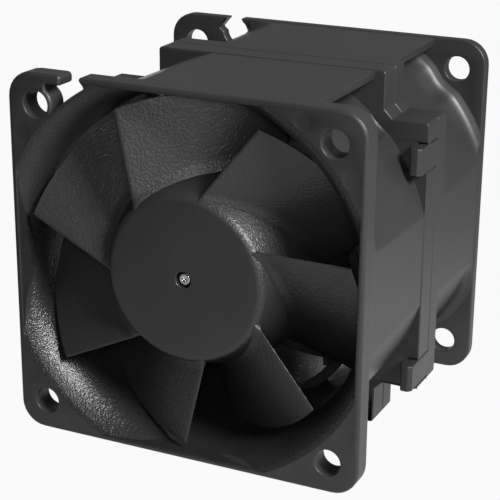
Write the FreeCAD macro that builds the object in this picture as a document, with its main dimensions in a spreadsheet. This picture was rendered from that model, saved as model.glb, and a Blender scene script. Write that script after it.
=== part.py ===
import FreeCAD, Part
import Sketcher
import math
import os
import re

# Counter-rotating axial fan for a rack chassis: two square housings clipped back to back,
# each with its own brushless motor and impeller, the two impellers turning opposite ways.
#
# Part frame: X to the right, Z up, Y along the air flow. The origin is the centre of the box.
# Every fan piece is first drawn in its own fan frame, whose Y axis is the fan axis and starts
# at the plane where the two housings meet, and points out of that fan's own open face.

V = FreeCAD.Vector
Rotation = FreeCAD.Rotation
Placement = FreeCAD.Placement

doc = FreeCAD.newDocument("counter_rotating_fan")

# Driving dimensions, in millimetres and degrees
SIZES = {
    # square frame and its screw holes
    "frame_side": 60.0,
    "corner_radius": 4.2,
    "hole_pitch": 50.0,
    "hole_diameter": 4.3,
    "front_depth": 30.5,
    "rear_depth": 25.5,
    "front_flange": 4.0,
    "rear_flange": 2.2,
    # air duct
    "throat_radius": 28.6,
    "front_flare_width": 3.7,
    "front_bell_depth": 7.0,
    "rear_flare_width": 1.8,
    "rear_bell_depth": 4.0,
    "bell_end_angle": 65.0,
    "mouth_lip": 1.0,
    "front_duct_wall": 2.4,
    "rear_duct_wall": 2.6,
    "duct_draft_width": 0.25,
    "pad_reach": 20.7,
    "pad_thickness": 1.6,
    "scallop_radius": 5.2,
    "rear_scallop_length": 6.0,
    # rims where the housings meet, and the clips that hold them
    "front_rim": 4.6,
    "rear_rim": 3.8,
    "rim_notch": 7.5,
    "rim_notch_corner": 1.4,
    "rim_lead_notch": 12.5,
    "clip_width": 4.4,
    "clip_thickness": 1.5,
    "clip_catch": 0.9,
    "clip_nose": 3.1,
    "clip_bevel": 0.6,
    "clip_gap": 0.15,
    "upper_clip_height": 16.9,
    "lower_clip_height": 19.5,
    # notch for the leads in each flange
    "front_notch_centre": 19.1,
    "front_notch_mouth": 2.7,
    "front_notch_width": 7.2,
    "front_notch_slant": 1.5,
    "rear_notch_centre": 17.1,
    "rear_notch_mouth": 2.5,
    "rear_notch_radius": 2.35,
    "rear_notch_drop": 2.6,
    "rear_mouth_offset": 1.0,
    "rear_barb_width": 1.7,
    "notch_lip": 1.7,
    "notch_floor_wall": 0.4,
    "notch_hole_wall": 0.75,
    "ejector_radius": 1.7,
    "ejector_depth": 0.15,
    "ejector_near": 19.5,
    "ejector_far": 27.5,
    # motor base and struts
    "base_radius": 16.4,
    "base_thickness": 2.0,
    "strut_height": 3.2,
    "strut_thickness": 1.7,
    "strut_bite": 1.0,
    "strut_count": 5.0,
    "duct_bite": 0.8,
    "strut_mid_radius": 23.4,
    "strut_mid_angle": 54.0,
    "strut_end_angle": 84.0,
    "strut_start_angle": 240.0,
    "lead_strut_width": 5.0,
    "lead_strut_angle": 135.0,
    "lead_groove_width": 2.6,
    "lead_groove_depth": 1.8,
    # impellers
    "tip_clearance": 0.6,
    "hub_recess": 1.0,
    "hub_radius": 17.0,
    "hub_face_radius": 13.3,
    "hub_edge_radius": 1.4,
    "front_cone_length": 9.0,
    "rear_cone_length": 6.0,
    "hub_wall": 1.5,
    "hub_face_wall": 1.8,
    "hub_lift": 3.2,
    "cup_step_width": 1.5,
    "cup_step_drop": 0.4,
    "cup_corner": 0.3,
    "front_blade_count": 7,
    "rear_blade_count": 5,
    # shaft and bearings
    "shaft_radius": 1.5,
    "shaft_neck_radius": 1.0,
    "neck_length": 3.0,
    "neck_inset": 0.5,
    "neck_clearance": 0.05,
    "tail_length": 0.4,
    "groove_depth": 0.3,
    "boss_radius": 3.4,
    "spigot_radius": 2.4,
    "bearing_radius": 4.0,
    "bearing_width": 3.0,
    "ring_thickness": 0.72,
    "ball_radius": 0.62,
    "ball_count": 7,
    "ball_clearance": 0.03,
    "lower_bearing_height": 1.8,
    "upper_bearing_height": 12.0,
    "fit_clearance": 0.01,
    "split_ring_thickness": 0.4,
    "split_ring_radius": 2.2,
    "split_ring_slit": 1.0,
    "washer_height": 0.75,
    "washer_thickness": 0.25,
    "washer_inset": 0.1,
    "washer_width": 0.55,
    # motor
    "sleeve_radius": 5.0,
    "sleeve_lift": 0.8,
    "sleeve_shoulder": 3.3,
    "sleeve_step": 0.2,
    "stack_lift": 6.5,
    "stack_height": 5.0,
    "tooth_count": 6,
    "tooth_width": 2.6,
    "tooth_tip": 1.3,
    "tooth_bite": 0.3,
    "slot_opening": 2.2,
    "core_ring_radius": 6.7,
    "insulator_thickness": 0.6,
    "insulator_inset": 0.1,
    "insulator_wall": 0.7,
    "winding_build": 1.2,
    "winding_gap": 0.05,
    "winding_spacing_angle": 0.8,
    "magnet_thickness": 0.95,
    "air_gap": 0.4,
    "magnet_lift": 4.9,
    "magnet_length": 8.4,
    "yoke_wall": 1.0,
    "yoke_lift": 4.0,
    "yoke_height": 18.0,
    "board_radius": 12.6,
    "board_thickness": 1.2,
    "board_lift": 0.6,
    "board_hole_clearance": 0.15,
    "pin_count": 3.0,
    "pin_radius": 0.6,
    "pin_inset": 1.6,
    "pin_start_angle": 30.0,
    # how far a cutting tool reaches past the surface it cuts
    "cut_margin": 1.0,
}

sheet = doc.addObject("Spreadsheet::Sheet", "Sizes")
for row, (name, size) in enumerate(SIZES.items(), 1):
    sheet.set(f"A{row}", name)
    sheet.set(f"B{row}", str(size))
    sheet.setAlias(f"B{row}", name)
doc.recompute()


def linked(text):
    """Write each size name in a formula as a reference to its cell."""
    return re.sub(r"\b([a-z]+(?:_[a-z]+)+)\b", r"Sizes.\1", text)


def number(text):
    """The present value of a formula of size names."""
    return float(sheet.evalExpression(linked(text)))


def bind(thing, prop, text):
    thing.setExpression(prop, linked(text))


# Sketches whose corners are formulas of the sizes

def fix_point(sketch, line, end, x_text=None, y_text=None):
    """Hold one end of a line at a formula's distance from the sketch's origin."""
    for kind, text in (("DistanceX", x_text), ("DistanceY", y_text)):
        if text is not None:
            held = sketch.addConstraint(Sketcher.Constraint(kind, -1, 1, line, end, number(text)))
            bind(sketch, f"Constraints[{held}]", text)


def draw_outline(sketch, corners):
    """Closed outline through (x, y) corners; a third entry rounds a corner between
    a level and an upright line to that radius."""
    count = len(corners)
    spots = [V(number(c[0]), number(c[1]), 0) for c in corners]
    rounds = [number(c[2]) if len(c) > 2 else 0.0 for c in corners]

    def towards(i, j):
        step = spots[j % count] - spots[i % count]
        return step.normalize()

    first = sketch.GeometryCount
    for i in range(count):
        start = spots[i] + towards(i, i + 1) * rounds[i]
        stop = spots[(i + 1) % count] + towards(i + 1, i) * rounds[(i + 1) % count]
        sketch.addGeometry(Part.LineSegment(start, stop), False)
    for i in range(count):
        before = first + (i - 1) % count
        after = first + i
        if not rounds[i]:
            sketch.addConstraint(Sketcher.Constraint("Coincident", before, 2, after, 1))
            fix_point(sketch, after, 1, corners[i][0], corners[i][1])
            continue
        arrive = towards(i - 1, i)
        leave = towards(i, i + 1)
        left_turn = arrive.cross(leave).z > 0
        centre = spots[i] - arrive * rounds[i] + leave * rounds[i]
        out = centre.add(leave * -1 * rounds[i])
        middle = centre + (out - centre + arrive * rounds[i]).normalize() * rounds[i]
        arc = sketch.addGeometry(Part.Arc(spots[i] - arrive * rounds[i], middle,
                                          spots[i] + leave * rounds[i]), False)
        in_end, out_end = (1, 2) if left_turn else (2, 1)
        sketch.addConstraint(Sketcher.Constraint("Tangent", before, 2, arc, in_end))
        sketch.addConstraint(Sketcher.Constraint("Tangent", arc, out_end, after, 1))
        held = sketch.addConstraint(Sketcher.Constraint("Radius", arc, rounds[i]))
        bind(sketch, f"Constraints[{held}]", corners[i][2])
        level = abs(arrive.x) > 0.5
        fix_point(sketch, before, 2, None if level else corners[i][0], corners[i][1] if level else None)
        fix_point(sketch, after, 1, corners[i][0] if level else None, None if level else corners[i][1])


def draw_circle(sketch, x_text, y_text, radius_text):
    ring = sketch.addGeometry(Part.Circle(V(number(x_text), number(y_text), 0), V(0, 0, 1),
                                          number(radius_text)), False)
    fix_point(sketch, ring, 3, x_text, y_text)
    held = sketch.addConstraint(Sketcher.Constraint("Radius", ring, number(radius_text)))
    bind(sketch, f"Constraints[{held}]", radius_text)
    return ring


# Solids for the boolean trees

def prism(name, low, high, corners=None, circle=None):
    """A solid with the same section from low to high along the fan axis."""
    sketch = doc.addObject("Sketcher::SketchObject", name + "_outline")
    sketch.Placement = Placement(V(0, 0, 0), Rotation(V(1, 0, 0), 90))
    if corners:
        draw_outline(sketch, corners)
    if circle:
        draw_circle(sketch, *circle)
    bind(sketch, ".Placement.Base.y", low)
    solid = doc.addObject("Part::Extrusion", name)
    solid.Base = sketch
    solid.DirMode = "Custom"
    solid.Dir = V(0, 1, 0)
    solid.Solid = True
    bind(solid, "LengthFwd", f"({high}) - ({low})")
    return solid


def turned(name, corners):
    """A solid of revolution about the fan axis from (radius, height) corners."""
    sketch = doc.addObject("Sketcher::SketchObject", name + "_profile")
    draw_outline(sketch, corners)
    solid = doc.addObject("Part::Revolution", name)
    solid.Source = sketch
    solid.Axis = V(0, 1, 0)
    solid.Base = V(0, 0, 0)
    solid.Angle = 360
    solid.Solid = True
    return solid


def fused(name, pieces, refine=True):
    joined = doc.addObject("Part::MultiFuse", name)
    joined.Shapes = pieces
    joined.Refine = refine
    return joined


def cut(name, base, tool):
    result = doc.addObject("Part::Cut", name)
    result.Base = base
    result.Tool = tool
    result.Refine = True
    return result


def common(name, pieces):
    result = doc.addObject("Part::MultiCommon", name)
    result.Shapes = pieces
    return result


def plain(name, shape):
    """A shape that Part's own functions worked out from the sheet."""
    piece = doc.addObject("Part::Feature", name)
    piece.Shape = shape
    return piece


# Turned and prismatic pieces as bodies

def new_body(label):
    body = doc.addObject("PartDesign::Body", label)
    body.Label = label
    return body


def body_sketch(body, role, name):
    sketch = body.newObject("Sketcher::SketchObject", name)
    planes = [plane for plane in body.Origin.OriginFeatures if plane.Role == role]
    sketch.AttachmentSupport = [(planes[0], "")]
    sketch.MapMode = "FlatFace"
    return sketch


def axis_of(body, role):
    return [line for line in body.Origin.OriginFeatures if line.Role == role][0]


def turned_body(label, corners):
    body = new_body(label)
    sketch = body_sketch(body, "XY_Plane", label + "_profile")
    draw_outline(sketch, corners)
    turn = body.newObject("PartDesign::Revolution", label + "_turn")
    turn.Profile = sketch
    turn.ReferenceAxis = (axis_of(body, "Y_Axis"), [""])
    turn.Angle = 360
    return body


# Places of the two fans in the part frame

SEAM = "(front_depth - rear_depth) / 2"
FANS = ("front", "rear")


def mouth_radius(fan):
    return f"(throat_radius + {fan}_flare_width)"


def place(piece, fan):
    """Stand a piece that was drawn in its fan frame in the part frame."""
    turn = Rotation(V(0, 0, 1), 180 if fan == "front" else 0)
    piece.Placement = Placement(V(0, number(SEAM), 0), turn)
    bind(piece, ".Placement.Base.y", SEAM)


def polar(radius, degrees, height):
    angle = math.radians(degrees)
    return V(radius * math.cos(angle), height, radius * math.sin(angle))


nodes = {}


# Housings

# Places of the curved struts round the motor base; the strut with the leads takes the one left.
STRUT_PLACES = (0, 1, 2, 4)


def square(half, radius=None):
    """Corners of a centred square, rounded when a radius is given."""
    signs = ((1, 1), (-1, 1), (-1, -1), (1, -1))
    corners = [(f"{sx} * ({half})", f"{sz} * ({half})") for sx, sz in signs]
    return [corner + (radius,) for corner in corners] if radius else corners


def notched_square(half, lead_side):
    """Corners of a centred square with a bite out of each corner. A slant fills the inner corner
    of each bite, and the upper bite on the side of the leads is the wider one."""
    level = f"({half} - rim_notch)"
    above = f"({level} + rim_notch_corner)"
    corners = []
    for sx, sz in ((1, 1), (-1, 1), (-1, -1), (1, -1)):
        wide = "rim_lead_notch" if (sx, sz) == (lead_side, 1) else "rim_notch"
        upright = f"({half} - {wide})"
        beside = f"({upright} + rim_notch_corner)"
        along = [(f"{sx} * {half}", f"{sz} * {level}"),
                 (f"{sx} * {beside}", f"{sz} * {level}"),
                 (f"{sx} * {upright}", f"{sz} * {above}"),
                 (f"{sx} * {upright}", f"{sz} * {half}")]
        corners += along if sx * sz > 0 else along[::-1]
    return corners


def curved_strut(start):
    """One swept strut between the motor base and the duct wall, from three points on its
    middle line."""
    half = number("strut_thickness / 2")
    spots = [(number("base_radius - strut_bite"), start),
             (number("strut_mid_radius"), start + number("strut_mid_angle")),
             (number("throat_radius + duct_bite"), start + number("strut_end_angle"))]
    middle = [polar(radius, angle, 0) for radius, angle in spots]
    centre = Part.Arc(*middle).toShape().Curve.Center
    sides = []
    for offset in (-half, half):
        sides.append([point + (point - centre).normalize() * offset for point in middle])
    inner = Part.Arc(*sides[0]).toShape()
    outer = Part.Arc(*sides[1]).toShape()
    ends = [Part.LineSegment(sides[0][i], sides[1][i]).toShape() for i in (0, 2)]
    face = Part.Face(Part.Wire(Part.__sortEdges__([inner, ends[0], outer, ends[1]])))
    return face.extrude(V(0, number("strut_height"), 0))


def housing(fan):
    """One duct half: flange, duct, rim, motor base and struts, drawn from the seam outwards."""
    hand = -1 if fan == "front" else 1
    depth = f"{fan}_depth"
    flange_back = f"({fan}_depth - {fan}_flange)"
    half = "frame_side / 2"

    flange = prism(f"{fan}_flange_plate", flange_back, depth, square(half, "corner_radius"))
    cone = turned(f"{fan}_duct_cone", [
        ("0", "0"),
        (f"throat_radius + {fan}_duct_wall - duct_draft_width", "0"),
        (f"throat_radius + {fan}_duct_wall", flange_back),
        ("0", flange_back)])
    block = prism(f"{fan}_duct_block", "0", flange_back, square(half))
    duct = common(f"{fan}_duct", [cone, block])
    rim = prism(f"{fan}_rim_plate", "0", f"{fan}_rim", notched_square(half, -hand))
    pad = prism(f"{fan}_top_pad", "0", flange_back, [
        ("0", half), ("0", f"{half} - pad_thickness"),
        (f"{hand} * pad_reach", f"{half} - pad_thickness"), (f"{hand} * pad_reach", half)])
    shell = fused(f"{fan}_shell", [flange, duct, rim, pad])

    bore = plain(f"{fan}_bore", bore_shape(fan))
    hollow = cut(f"{fan}_hollow", shell, bore)
    base = prism(f"{fan}_motor_base", "0", "base_thickness", circle=("0", "0", "base_radius"))
    parts = [hollow, base]
    for index in STRUT_PLACES:
        angle = number("strut_start_angle") + index * 360.0 / number("strut_count")
        shape = curved_strut(angle)
        if fan == "front":
            shape = shape.mirror(V(0, 0, 0), V(1, 0, 0))
        parts.append(plain(f"{fan}_strut_{index}", shape))
    parts.append(plain(f"{fan}_lead_strut", lead_bar(fan, "lead_strut_width", "base_radius - strut_bite",
                                                      "throat_radius + duct_bite", "strut_height")))
    if fan == "rear":
        parts += [plain(f"clip_{i}", clip_shape(*spot)) for i, spot in enumerate(clip_spots(), 1)]
    solid = fused(f"{fan}_moulding", parts)

    scallop_end = "front_rim" if fan == "front" else f"{flange_back} - rear_scallop_length"
    beyond = f"{depth} + cut_margin"
    tools = []
    for sx in (1, -1):
        for sz in (1, -1):
            centre = V(sx * number("hole_pitch / 2"), 0, sz * number("hole_pitch / 2"))
            tools.append(round_tool(centre, "hole_diameter / 2", flange_back, beyond))
            tools.append(round_tool(centre, "scallop_radius", scallop_end, flange_back))
            for x, z in (("ejector_near", "ejector_far"), ("ejector_far", "ejector_near")):
                spot = V(sx * number(x), 0, sz * number(z))
                tools.append(round_tool(spot, "ejector_radius", f"{depth} - ejector_depth", beyond))
    tools.append(round_tool(V(0, 0, 0), "sleeve_radius + fit_clearance", "sleeve_lift",
                            "base_thickness + cut_margin"))
    tools.append(lead_bar(fan, "lead_groove_width", "sleeve_radius + lead_groove_width", "frame_side",
                          "lead_groove_depth"))
    tools.append(front_notch() if fan == "front" else rear_notch())
    if fan == "front":
        tools += [clip_pocket(*spot) for spot in clip_spots()]
    cutters = plain(f"{fan}_cutters", Part.makeCompound(tools))
    node = cut(f"{fan}_housing", solid, cutters)
    nodes[f"{fan}_housing"] = node
    place(node, fan)


def round_tool(centre, radius, low, high):
    height = number(high) - number(low)
    return Part.makeCylinder(number(radius), height, V(centre.x, number(low), centre.z), V(0, 1, 0))


def bore_shape(fan):
    """The air path: a straight throat that opens along an ellipse and meets the face at a clear
    edge. The mouth is cut off square a lip's width inside the frame."""
    throat = number("throat_radius")
    mouth = number(mouth_radius(fan))
    bell = number(f"{fan}_bell_depth")
    depth = number(f"{fan}_depth")
    margin = number("cut_margin")
    start = V(throat, depth - bell, 0)
    last = math.radians(number("bell_end_angle"))
    steps = 6
    curve = []
    for step in range(steps + 1):
        angle = last * step / steps
        flare = (1 - math.cos(angle)) / (1 - math.cos(last))
        rise = math.sin(angle) / math.sin(last)
        curve.append(V(throat + (mouth - throat) * flare, depth - bell + bell * rise, 0))
    wall = Part.BSplineCurve()
    wall.interpolate(curve)
    below = V(throat, -margin, 0)
    beyond = V(mouth, depth + margin, 0)
    edges = [Part.LineSegment(V(0, -margin, 0), below).toShape(),
             Part.LineSegment(below, start).toShape(),
             wall.toShape(),
             Part.LineSegment(curve[-1], beyond).toShape(),
             Part.LineSegment(beyond, V(0, depth + margin, 0)).toShape(),
             Part.LineSegment(V(0, depth + margin, 0), V(0, -margin, 0)).toShape()]
    path = Part.Face(Part.Wire(edges)).revolve(V(0, 0, 0), V(0, 1, 0), 360)
    opening = number("frame_side - 2 * mouth_lip")
    window = Part.makeBox(opening, depth + 2 * margin, opening, V(-opening / 2, -margin, -opening / 2))
    return path.common(window)


def lead_bar(fan, width, inner, outer, height):
    """A straight bar along the strut that carries the leads, from inner to outer radius."""
    hand = -1 if fan == "front" else 1
    wide = number(width)
    start = number(inner)
    bar = Part.makeBox(number(outer) - start, number(height), wide, V(start, 0, -wide / 2))
    bar.rotate(V(0, 0, 0), V(0, 1, 0), -number("lead_strut_angle"))
    return bar if hand > 0 else bar.mirror(V(0, 0, 0), V(1, 0, 0))


def notch_tool(fan, corners, extra):
    """A notch tool as thick as the flange and a margin more: a polygon in x and z with extra
    round parts, less the ring of wall that stays above the duct."""
    margin = number("cut_margin")
    low = number(f"{fan}_depth - {fan}_flange") - margin
    thick = number(f"{fan}_flange") + 2 * margin
    points = [V(x, low, z) for x, z in corners]
    tool = Part.Face(Part.makePolygon(points + points[:1])).extrude(V(0, thick, 0))
    for radius, x, z in extra:
        tool = tool.fuse(Part.makeCylinder(radius, thick, V(x, low, z), V(0, 1, 0)))
    floor = number(mouth_radius(fan) + " + notch_floor_wall")
    return tool.cut(Part.makeCylinder(floor, thick, V(0, low, 0), V(0, 1, 0)))


def front_notch():
    """The front notch for the leads, on the frame's left above the duct: a chamber round the
    wall of the screw hole, with a narrower mouth in the top edge and a slanted right side.
    In this fan's frame the left is on the positive side."""
    margin = number("cut_margin")
    half = number("frame_side / 2")
    top = half - number("notch_lip")
    near = number("front_notch_centre - front_notch_mouth / 2")
    far = near + number("front_notch_mouth")
    right = near - number("front_notch_slant")
    left = right + number("front_notch_width")
    corners = [(near, half + margin), (near, half), (right, top), (right, half / 2),
               (left, half / 2), (left, top), (far, top), (far, half + margin)]
    tool = notch_tool("front", corners, [])
    hole = number("hole_pitch / 2")
    wall = number("hole_diameter / 2 + notch_hole_wall")
    depth = number("front_depth") + margin
    return tool.cut(Part.makeCylinder(wall, depth, V(hole, 0, hole), V(0, 1, 0)))


def rear_notch():
    """The rear notch for the leads: a round eye with a mouth in the top edge, whose left lip
    slants down to a barb."""
    margin = number("cut_margin")
    half = number("frame_side / 2")
    centre = -number("rear_notch_centre")
    eye = number("rear_notch_radius")
    level = half - number("rear_notch_drop")
    right = centre + number("rear_mouth_offset")
    left = right - number("rear_notch_mouth")
    barb = left - number("rear_barb_width")
    corners = [(right, half + margin), (left, half + margin), (left, half), (barb, level + eye / 4),
               (centre - eye * 0.9, level), (centre, level), (right, level + eye / 2)]
    return notch_tool("rear", corners, [(eye, centre, level)])


def clip_spots():
    """Side and height of the four clips: two on the right, two on the left."""
    spots = []
    for side in (1, -1):
        spots.append((side, number("upper_clip_height")))
        spots.append((side, -number("lower_clip_height")))
    return spots


def clip_shape(side, height):
    """A clip arm that grows from the rear rim over the front rim and hooks in front of it.
    It is drawn in the rear fan's frame, where the front rim lies below the seam."""
    half = number("frame_side / 2")
    wide = number("clip_width")
    thick = number("clip_thickness")
    catch = number("clip_catch")
    nose = number("clip_nose")
    rim = number("front_rim")
    gap = number("clip_gap")
    root = number("rear_rim")
    reach = rim + gap + nose
    bevel = number("clip_bevel")
    inside = half - thick
    points = [V(half, root, 0), V(half, bevel - reach, 0), V(half - bevel, -reach, 0),
              V(inside - bevel / 2, -reach, 0), V(inside - catch, -rim - gap - nose / 2, 0),
              V(inside - catch, -rim - gap, 0), V(inside, -rim - gap, 0), V(inside, root, 0)]
    face = Part.Face(Part.makePolygon(points + points[:1]))
    arm = face.extrude(V(0, 0, wide))
    arm.translate(V(0, 0, height - wide / 2))
    return arm if side > 0 else arm.mirror(V(0, 0, 0), V(1, 0, 0))


def clip_pocket(side, height):
    """The pocket in the front rim that a clip arm lies in, in the front fan's frame."""
    half = number("frame_side / 2")
    gap = number("clip_gap")
    deep = number("clip_thickness") + gap
    wide = number("clip_width") + 2 * gap
    margin = number("cut_margin")
    high = number("front_rim") + 2 * margin
    pocket = Part.makeBox(deep + margin, high, wide, V(half - deep, -margin, height - wide / 2))
    return pocket if side < 0 else pocket.mirror(V(0, 0, 0), V(1, 0, 0))


# Impellers

# The worn edge of the hub's face: how far each corner lies inwards and down, as shares of the
# edge's radius.
HUB_EDGE = ((0.0, 0.55), (0.3, 0.16), (1.0, 0.0))


def hub_corners(fan):
    """Profile of the hub: face, cone, cylinder, the cup inside, and the boss on the shaft."""
    face = f"({fan}_depth - hub_recess)"
    shoulder = f"({face} - {fan}_cone_length)"
    slope = f"((hub_radius - hub_face_radius) / {fan}_cone_length)"
    ceiling = f"({face} - hub_face_wall)"
    boss_end = "(upper_bearing_height + bearing_width + washer_height)"
    seat = "(yoke_height + fit_clearance)"
    bore = "(hub_radius - hub_wall)"
    step = "(hub_radius - hub_wall - cup_step_width)"
    inner_top = f"(hub_face_radius - hub_wall - cup_corner + {slope} * hub_face_wall)"
    edge = [(f"hub_face_radius - hub_edge_radius * {inwards}", f"{face} - hub_edge_radius * {down}")
            for inwards, down in HUB_EDGE]
    return [
        ("shaft_radius + fit_clearance", boss_end),
        ("spigot_radius", boss_end),
        ("spigot_radius", seat),
        ("boss_radius", seat),
        ("boss_radius", ceiling),
        (inner_top, ceiling),
        (step, f"{shoulder} - cup_step_drop"),
        (step, seat),
        (bore, seat),
        (bore, "hub_lift"),
        ("hub_radius", "hub_lift"),
        ("hub_radius", shoulder),
        *edge,
        ("shaft_neck_radius + neck_clearance", face),
        ("shaft_neck_radius + neck_clearance", f"{face} - neck_inset - neck_length"),
        ("shaft_radius + fit_clearance", f"{face} - neck_inset - neck_length"),
    ]


# Blade laws, each at the root radius and at the tip: where the leading edge lies, how long the
# blade is along the axis, its angle from the axis at both edges, and its thickness.
BLADES = {
    "front": {
        "lead_angle": (147.5, 167.7),
        "lead_height": (28.9, 28.7),
        "chord": (16.0, 14.0),
        "in_angle": (63.0, 65.0),
        "out_angle": (30.0, 52.0),
        "thickness": (1.5, 0.9),
        "flow": -1,
    },
    "rear": {
        "lead_angle": (20.0, 0.0),
        "lead_height": (5.2, 6.2),
        "chord": (15.5, 13.5),
        "in_angle": (58.0, 66.0),
        "out_angle": (34.0, 52.0),
        "thickness": (1.6, 1.0),
        "flow": 1,
    },
}
EDGE_THICKNESS = 0.45
SECTIONS = 4
STATIONS = 5


def straight_edge(law, root, tip, radius):
    """Angle at which the straight line from the edge's root to its tip has this radius. The
    line passes the axis at its foot's distance, and acos(foot / radius) is the angle from there."""
    inner = polar(root, law["lead_angle"][0], 0)
    outer = polar(tip, law["lead_angle"][1], 0)
    course = (outer - inner).normalize()
    foot = inner - course * inner.dot(course)
    side = math.copysign(1, law["lead_angle"][1] - law["lead_angle"][0])
    centre = math.degrees(math.atan2(foot.z, foot.x))
    turn = math.degrees(math.acos(foot.Length / radius))
    return centre + side * turn


def blade_section(law, share, radius, lead):
    """One closed section on a cylinder about the axis. The mean line starts at the inlet
    angle and bends evenly to the outlet angle; the thickness is fullest in the middle."""
    def at(name):
        root, tip = law[name]
        return root + (tip - root) * share

    chord = at("chord")
    rise_in = math.tan(math.radians(at("in_angle")))
    rise_out = math.tan(math.radians(at("out_angle")))
    full = at("thickness")
    sides = {1: [], -1: []}
    for step in range(STATIONS):
        along = step / (STATIONS - 1)
        height = along * chord
        arc = chord * (rise_in * along + (rise_out - rise_in) * along * along / 2)
        slope = rise_in + (rise_out - rise_in) * along
        tilt = math.hypot(1, slope)
        half = (EDGE_THICKNESS + (full - EDGE_THICKNESS) * 4 * along * (1 - along)) / 2
        for side, points in sides.items():
            around = arc + side * half / tilt
            axial = height - side * half * slope / tilt
            angle = lead + math.degrees(around / radius)
            points.append(polar(radius, angle, at("lead_height") + law["flow"] * axial))
    curves = []
    for points in (sides[1], sides[-1][::-1]):
        curve = Part.BSplineCurve()
        curve.interpolate(points)
        curves.append(curve.toShape())
    ends = [Part.LineSegment(sides[1][-1], sides[-1][-1]).toShape(),
            Part.LineSegment(sides[-1][0], sides[1][0]).toShape()]
    return Part.Wire([curves[0], ends[0], curves[1], ends[1]])


def blade_ring(fan, count):
    """All the blades of one impeller, trimmed to the tip circle and rooted in the hub wall."""
    law = BLADES[fan]
    tip = number("throat_radius - tip_clearance")
    root = number("hub_face_radius - hub_wall")
    last = tip + number("cut_margin")
    wires = []
    for index in range(SECTIONS):
        share = index / (SECTIONS - 1)
        radius = root + (last - root) * share
        wires.append(blade_section(law, share, radius, straight_edge(law, root, last, radius)))
    skin = Part.makeLoft(wires, False, False)
    caps = [Part.makeFilledFace(wire.Edges) for wire in (wires[0], wires[-1])]
    shell = Part.makeShell(skin.Faces + caps)
    shell.sewShape()
    blade = Part.makeSolid(shell)
    if blade.Volume < 0:
        blade.reverse()
    depth = number(f"{fan}_depth")
    swept = Part.makeCylinder(tip, depth * 2, V(0, -depth / 2, 0), V(0, 1, 0))
    blade = blade.common(swept).cut(hub_core(fan))
    blade = max(blade.Solids, key=lambda solid: solid.Volume)
    ring = []
    for index in range(count):
        copy = blade.copy()
        copy.rotate(V(0, 0, 0), V(0, 1, 0), -index * 360.0 / count)
        ring.append(copy)
    return ring


def hub_core(fan):
    """What lies under the skin of the hub, so that a blade's root ends inside the wall."""
    bite = number("hub_wall") / 2
    low = -number("cut_margin")
    face = number(f"{fan}_depth - hub_recess") - bite
    shoulder = number(f"{fan}_depth - hub_recess - {fan}_cone_length")
    wide = number("hub_radius") - bite
    narrow = number("hub_face_radius") - bite
    points = [V(0, low, 0), V(wide, low, 0), V(wide, shoulder, 0), V(narrow, face, 0),
              V(0, face, 0), V(0, low, 0)]
    return Part.Face(Part.makePolygon(points)).revolve(V(0, 0, 0), V(0, 1, 0), 360)


def impeller(fan):
    hub = turned(f"{fan}_hub", hub_corners(fan))
    blades = [plain(f"{fan}_blade_{i}", shape)
              for i, shape in enumerate(blade_ring(fan, int(number(f"{fan}_blade_count"))), 1)]
    node = fused(f"{fan}_impeller", [hub] + blades, refine=False)
    nodes[f"{fan}_impeller"] = node
    place(node, fan)


# Motor pieces, the same for both fans except for the length of the shaft

def motor(fan):
    face = f"({fan}_depth - hub_recess)"

    yoke_radius = "(hub_radius - hub_wall - fit_clearance)"
    yoke_inside = "(hub_radius - hub_wall - fit_clearance - yoke_wall)"
    add_body(fan, "rotor_yoke", turned_body(f"{fan}_rotor_yoke", [
        ("spigot_radius + fit_clearance", "yoke_height - yoke_wall"),
        (yoke_inside, "yoke_height - yoke_wall"),
        (yoke_inside, "yoke_lift"),
        (yoke_radius, "yoke_lift"),
        (yoke_radius, "yoke_height"),
        ("spigot_radius + fit_clearance", "yoke_height")]))

    magnet_outside = f"({yoke_inside} - fit_clearance)"
    magnet_inside = f"({magnet_outside} - magnet_thickness)"
    add_body(fan, "magnet_ring", turned_body(f"{fan}_magnet_ring", [
        (magnet_inside, "magnet_lift"), (magnet_outside, "magnet_lift"),
        (magnet_outside, "magnet_lift + magnet_length"), (magnet_inside, "magnet_lift + magnet_length")]))

    neck = f"({face} - neck_inset - neck_length)"
    ring_low = "(lower_bearing_height - split_ring_thickness)"
    add_body(fan, "shaft", turned_body(f"{fan}_shaft", [
        ("0", f"{ring_low} - tail_length"), ("shaft_radius", f"{ring_low} - tail_length"),
        ("shaft_radius", ring_low), ("shaft_radius - groove_depth", ring_low),
        ("shaft_radius - groove_depth", "lower_bearing_height"), ("shaft_radius", "lower_bearing_height"),
        ("shaft_radius", neck), ("shaft_neck_radius", neck),
        ("shaft_neck_radius", f"{face} - neck_inset"), ("0", f"{face} - neck_inset")]))

    retaining_ring(fan)
    preload_washer(fan)
    bearings(fan)

    mid_low = "(lower_bearing_height + bearing_width)"
    top = "(upper_bearing_height + bearing_width)"
    shoulder = "(stack_lift - insulator_thickness)"
    bore = "(bearing_radius + fit_clearance)"
    add_body(fan, "bearing_sleeve", turned_body(f"{fan}_bearing_sleeve", [
        (bore, "sleeve_lift"), ("sleeve_radius", "sleeve_lift"),
        ("sleeve_radius", shoulder), ("sleeve_radius - sleeve_step", shoulder),
        ("sleeve_radius - sleeve_step", top), (bore, top),
        (bore, "upper_bearing_height"), ("sleeve_shoulder", "upper_bearing_height"),
        ("sleeve_shoulder", mid_low), (bore, mid_low)]))
    stator(fan)
    circuit_board(fan)


def add_body(fan, name, body):
    nodes[f"{fan}_{name}"] = body
    place(body, fan)


def add_shape(fan, name, shape):
    piece = plain(f"{fan}_{name}", shape)
    nodes[f"{fan}_{name}"] = piece
    place(piece, fan)


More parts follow.
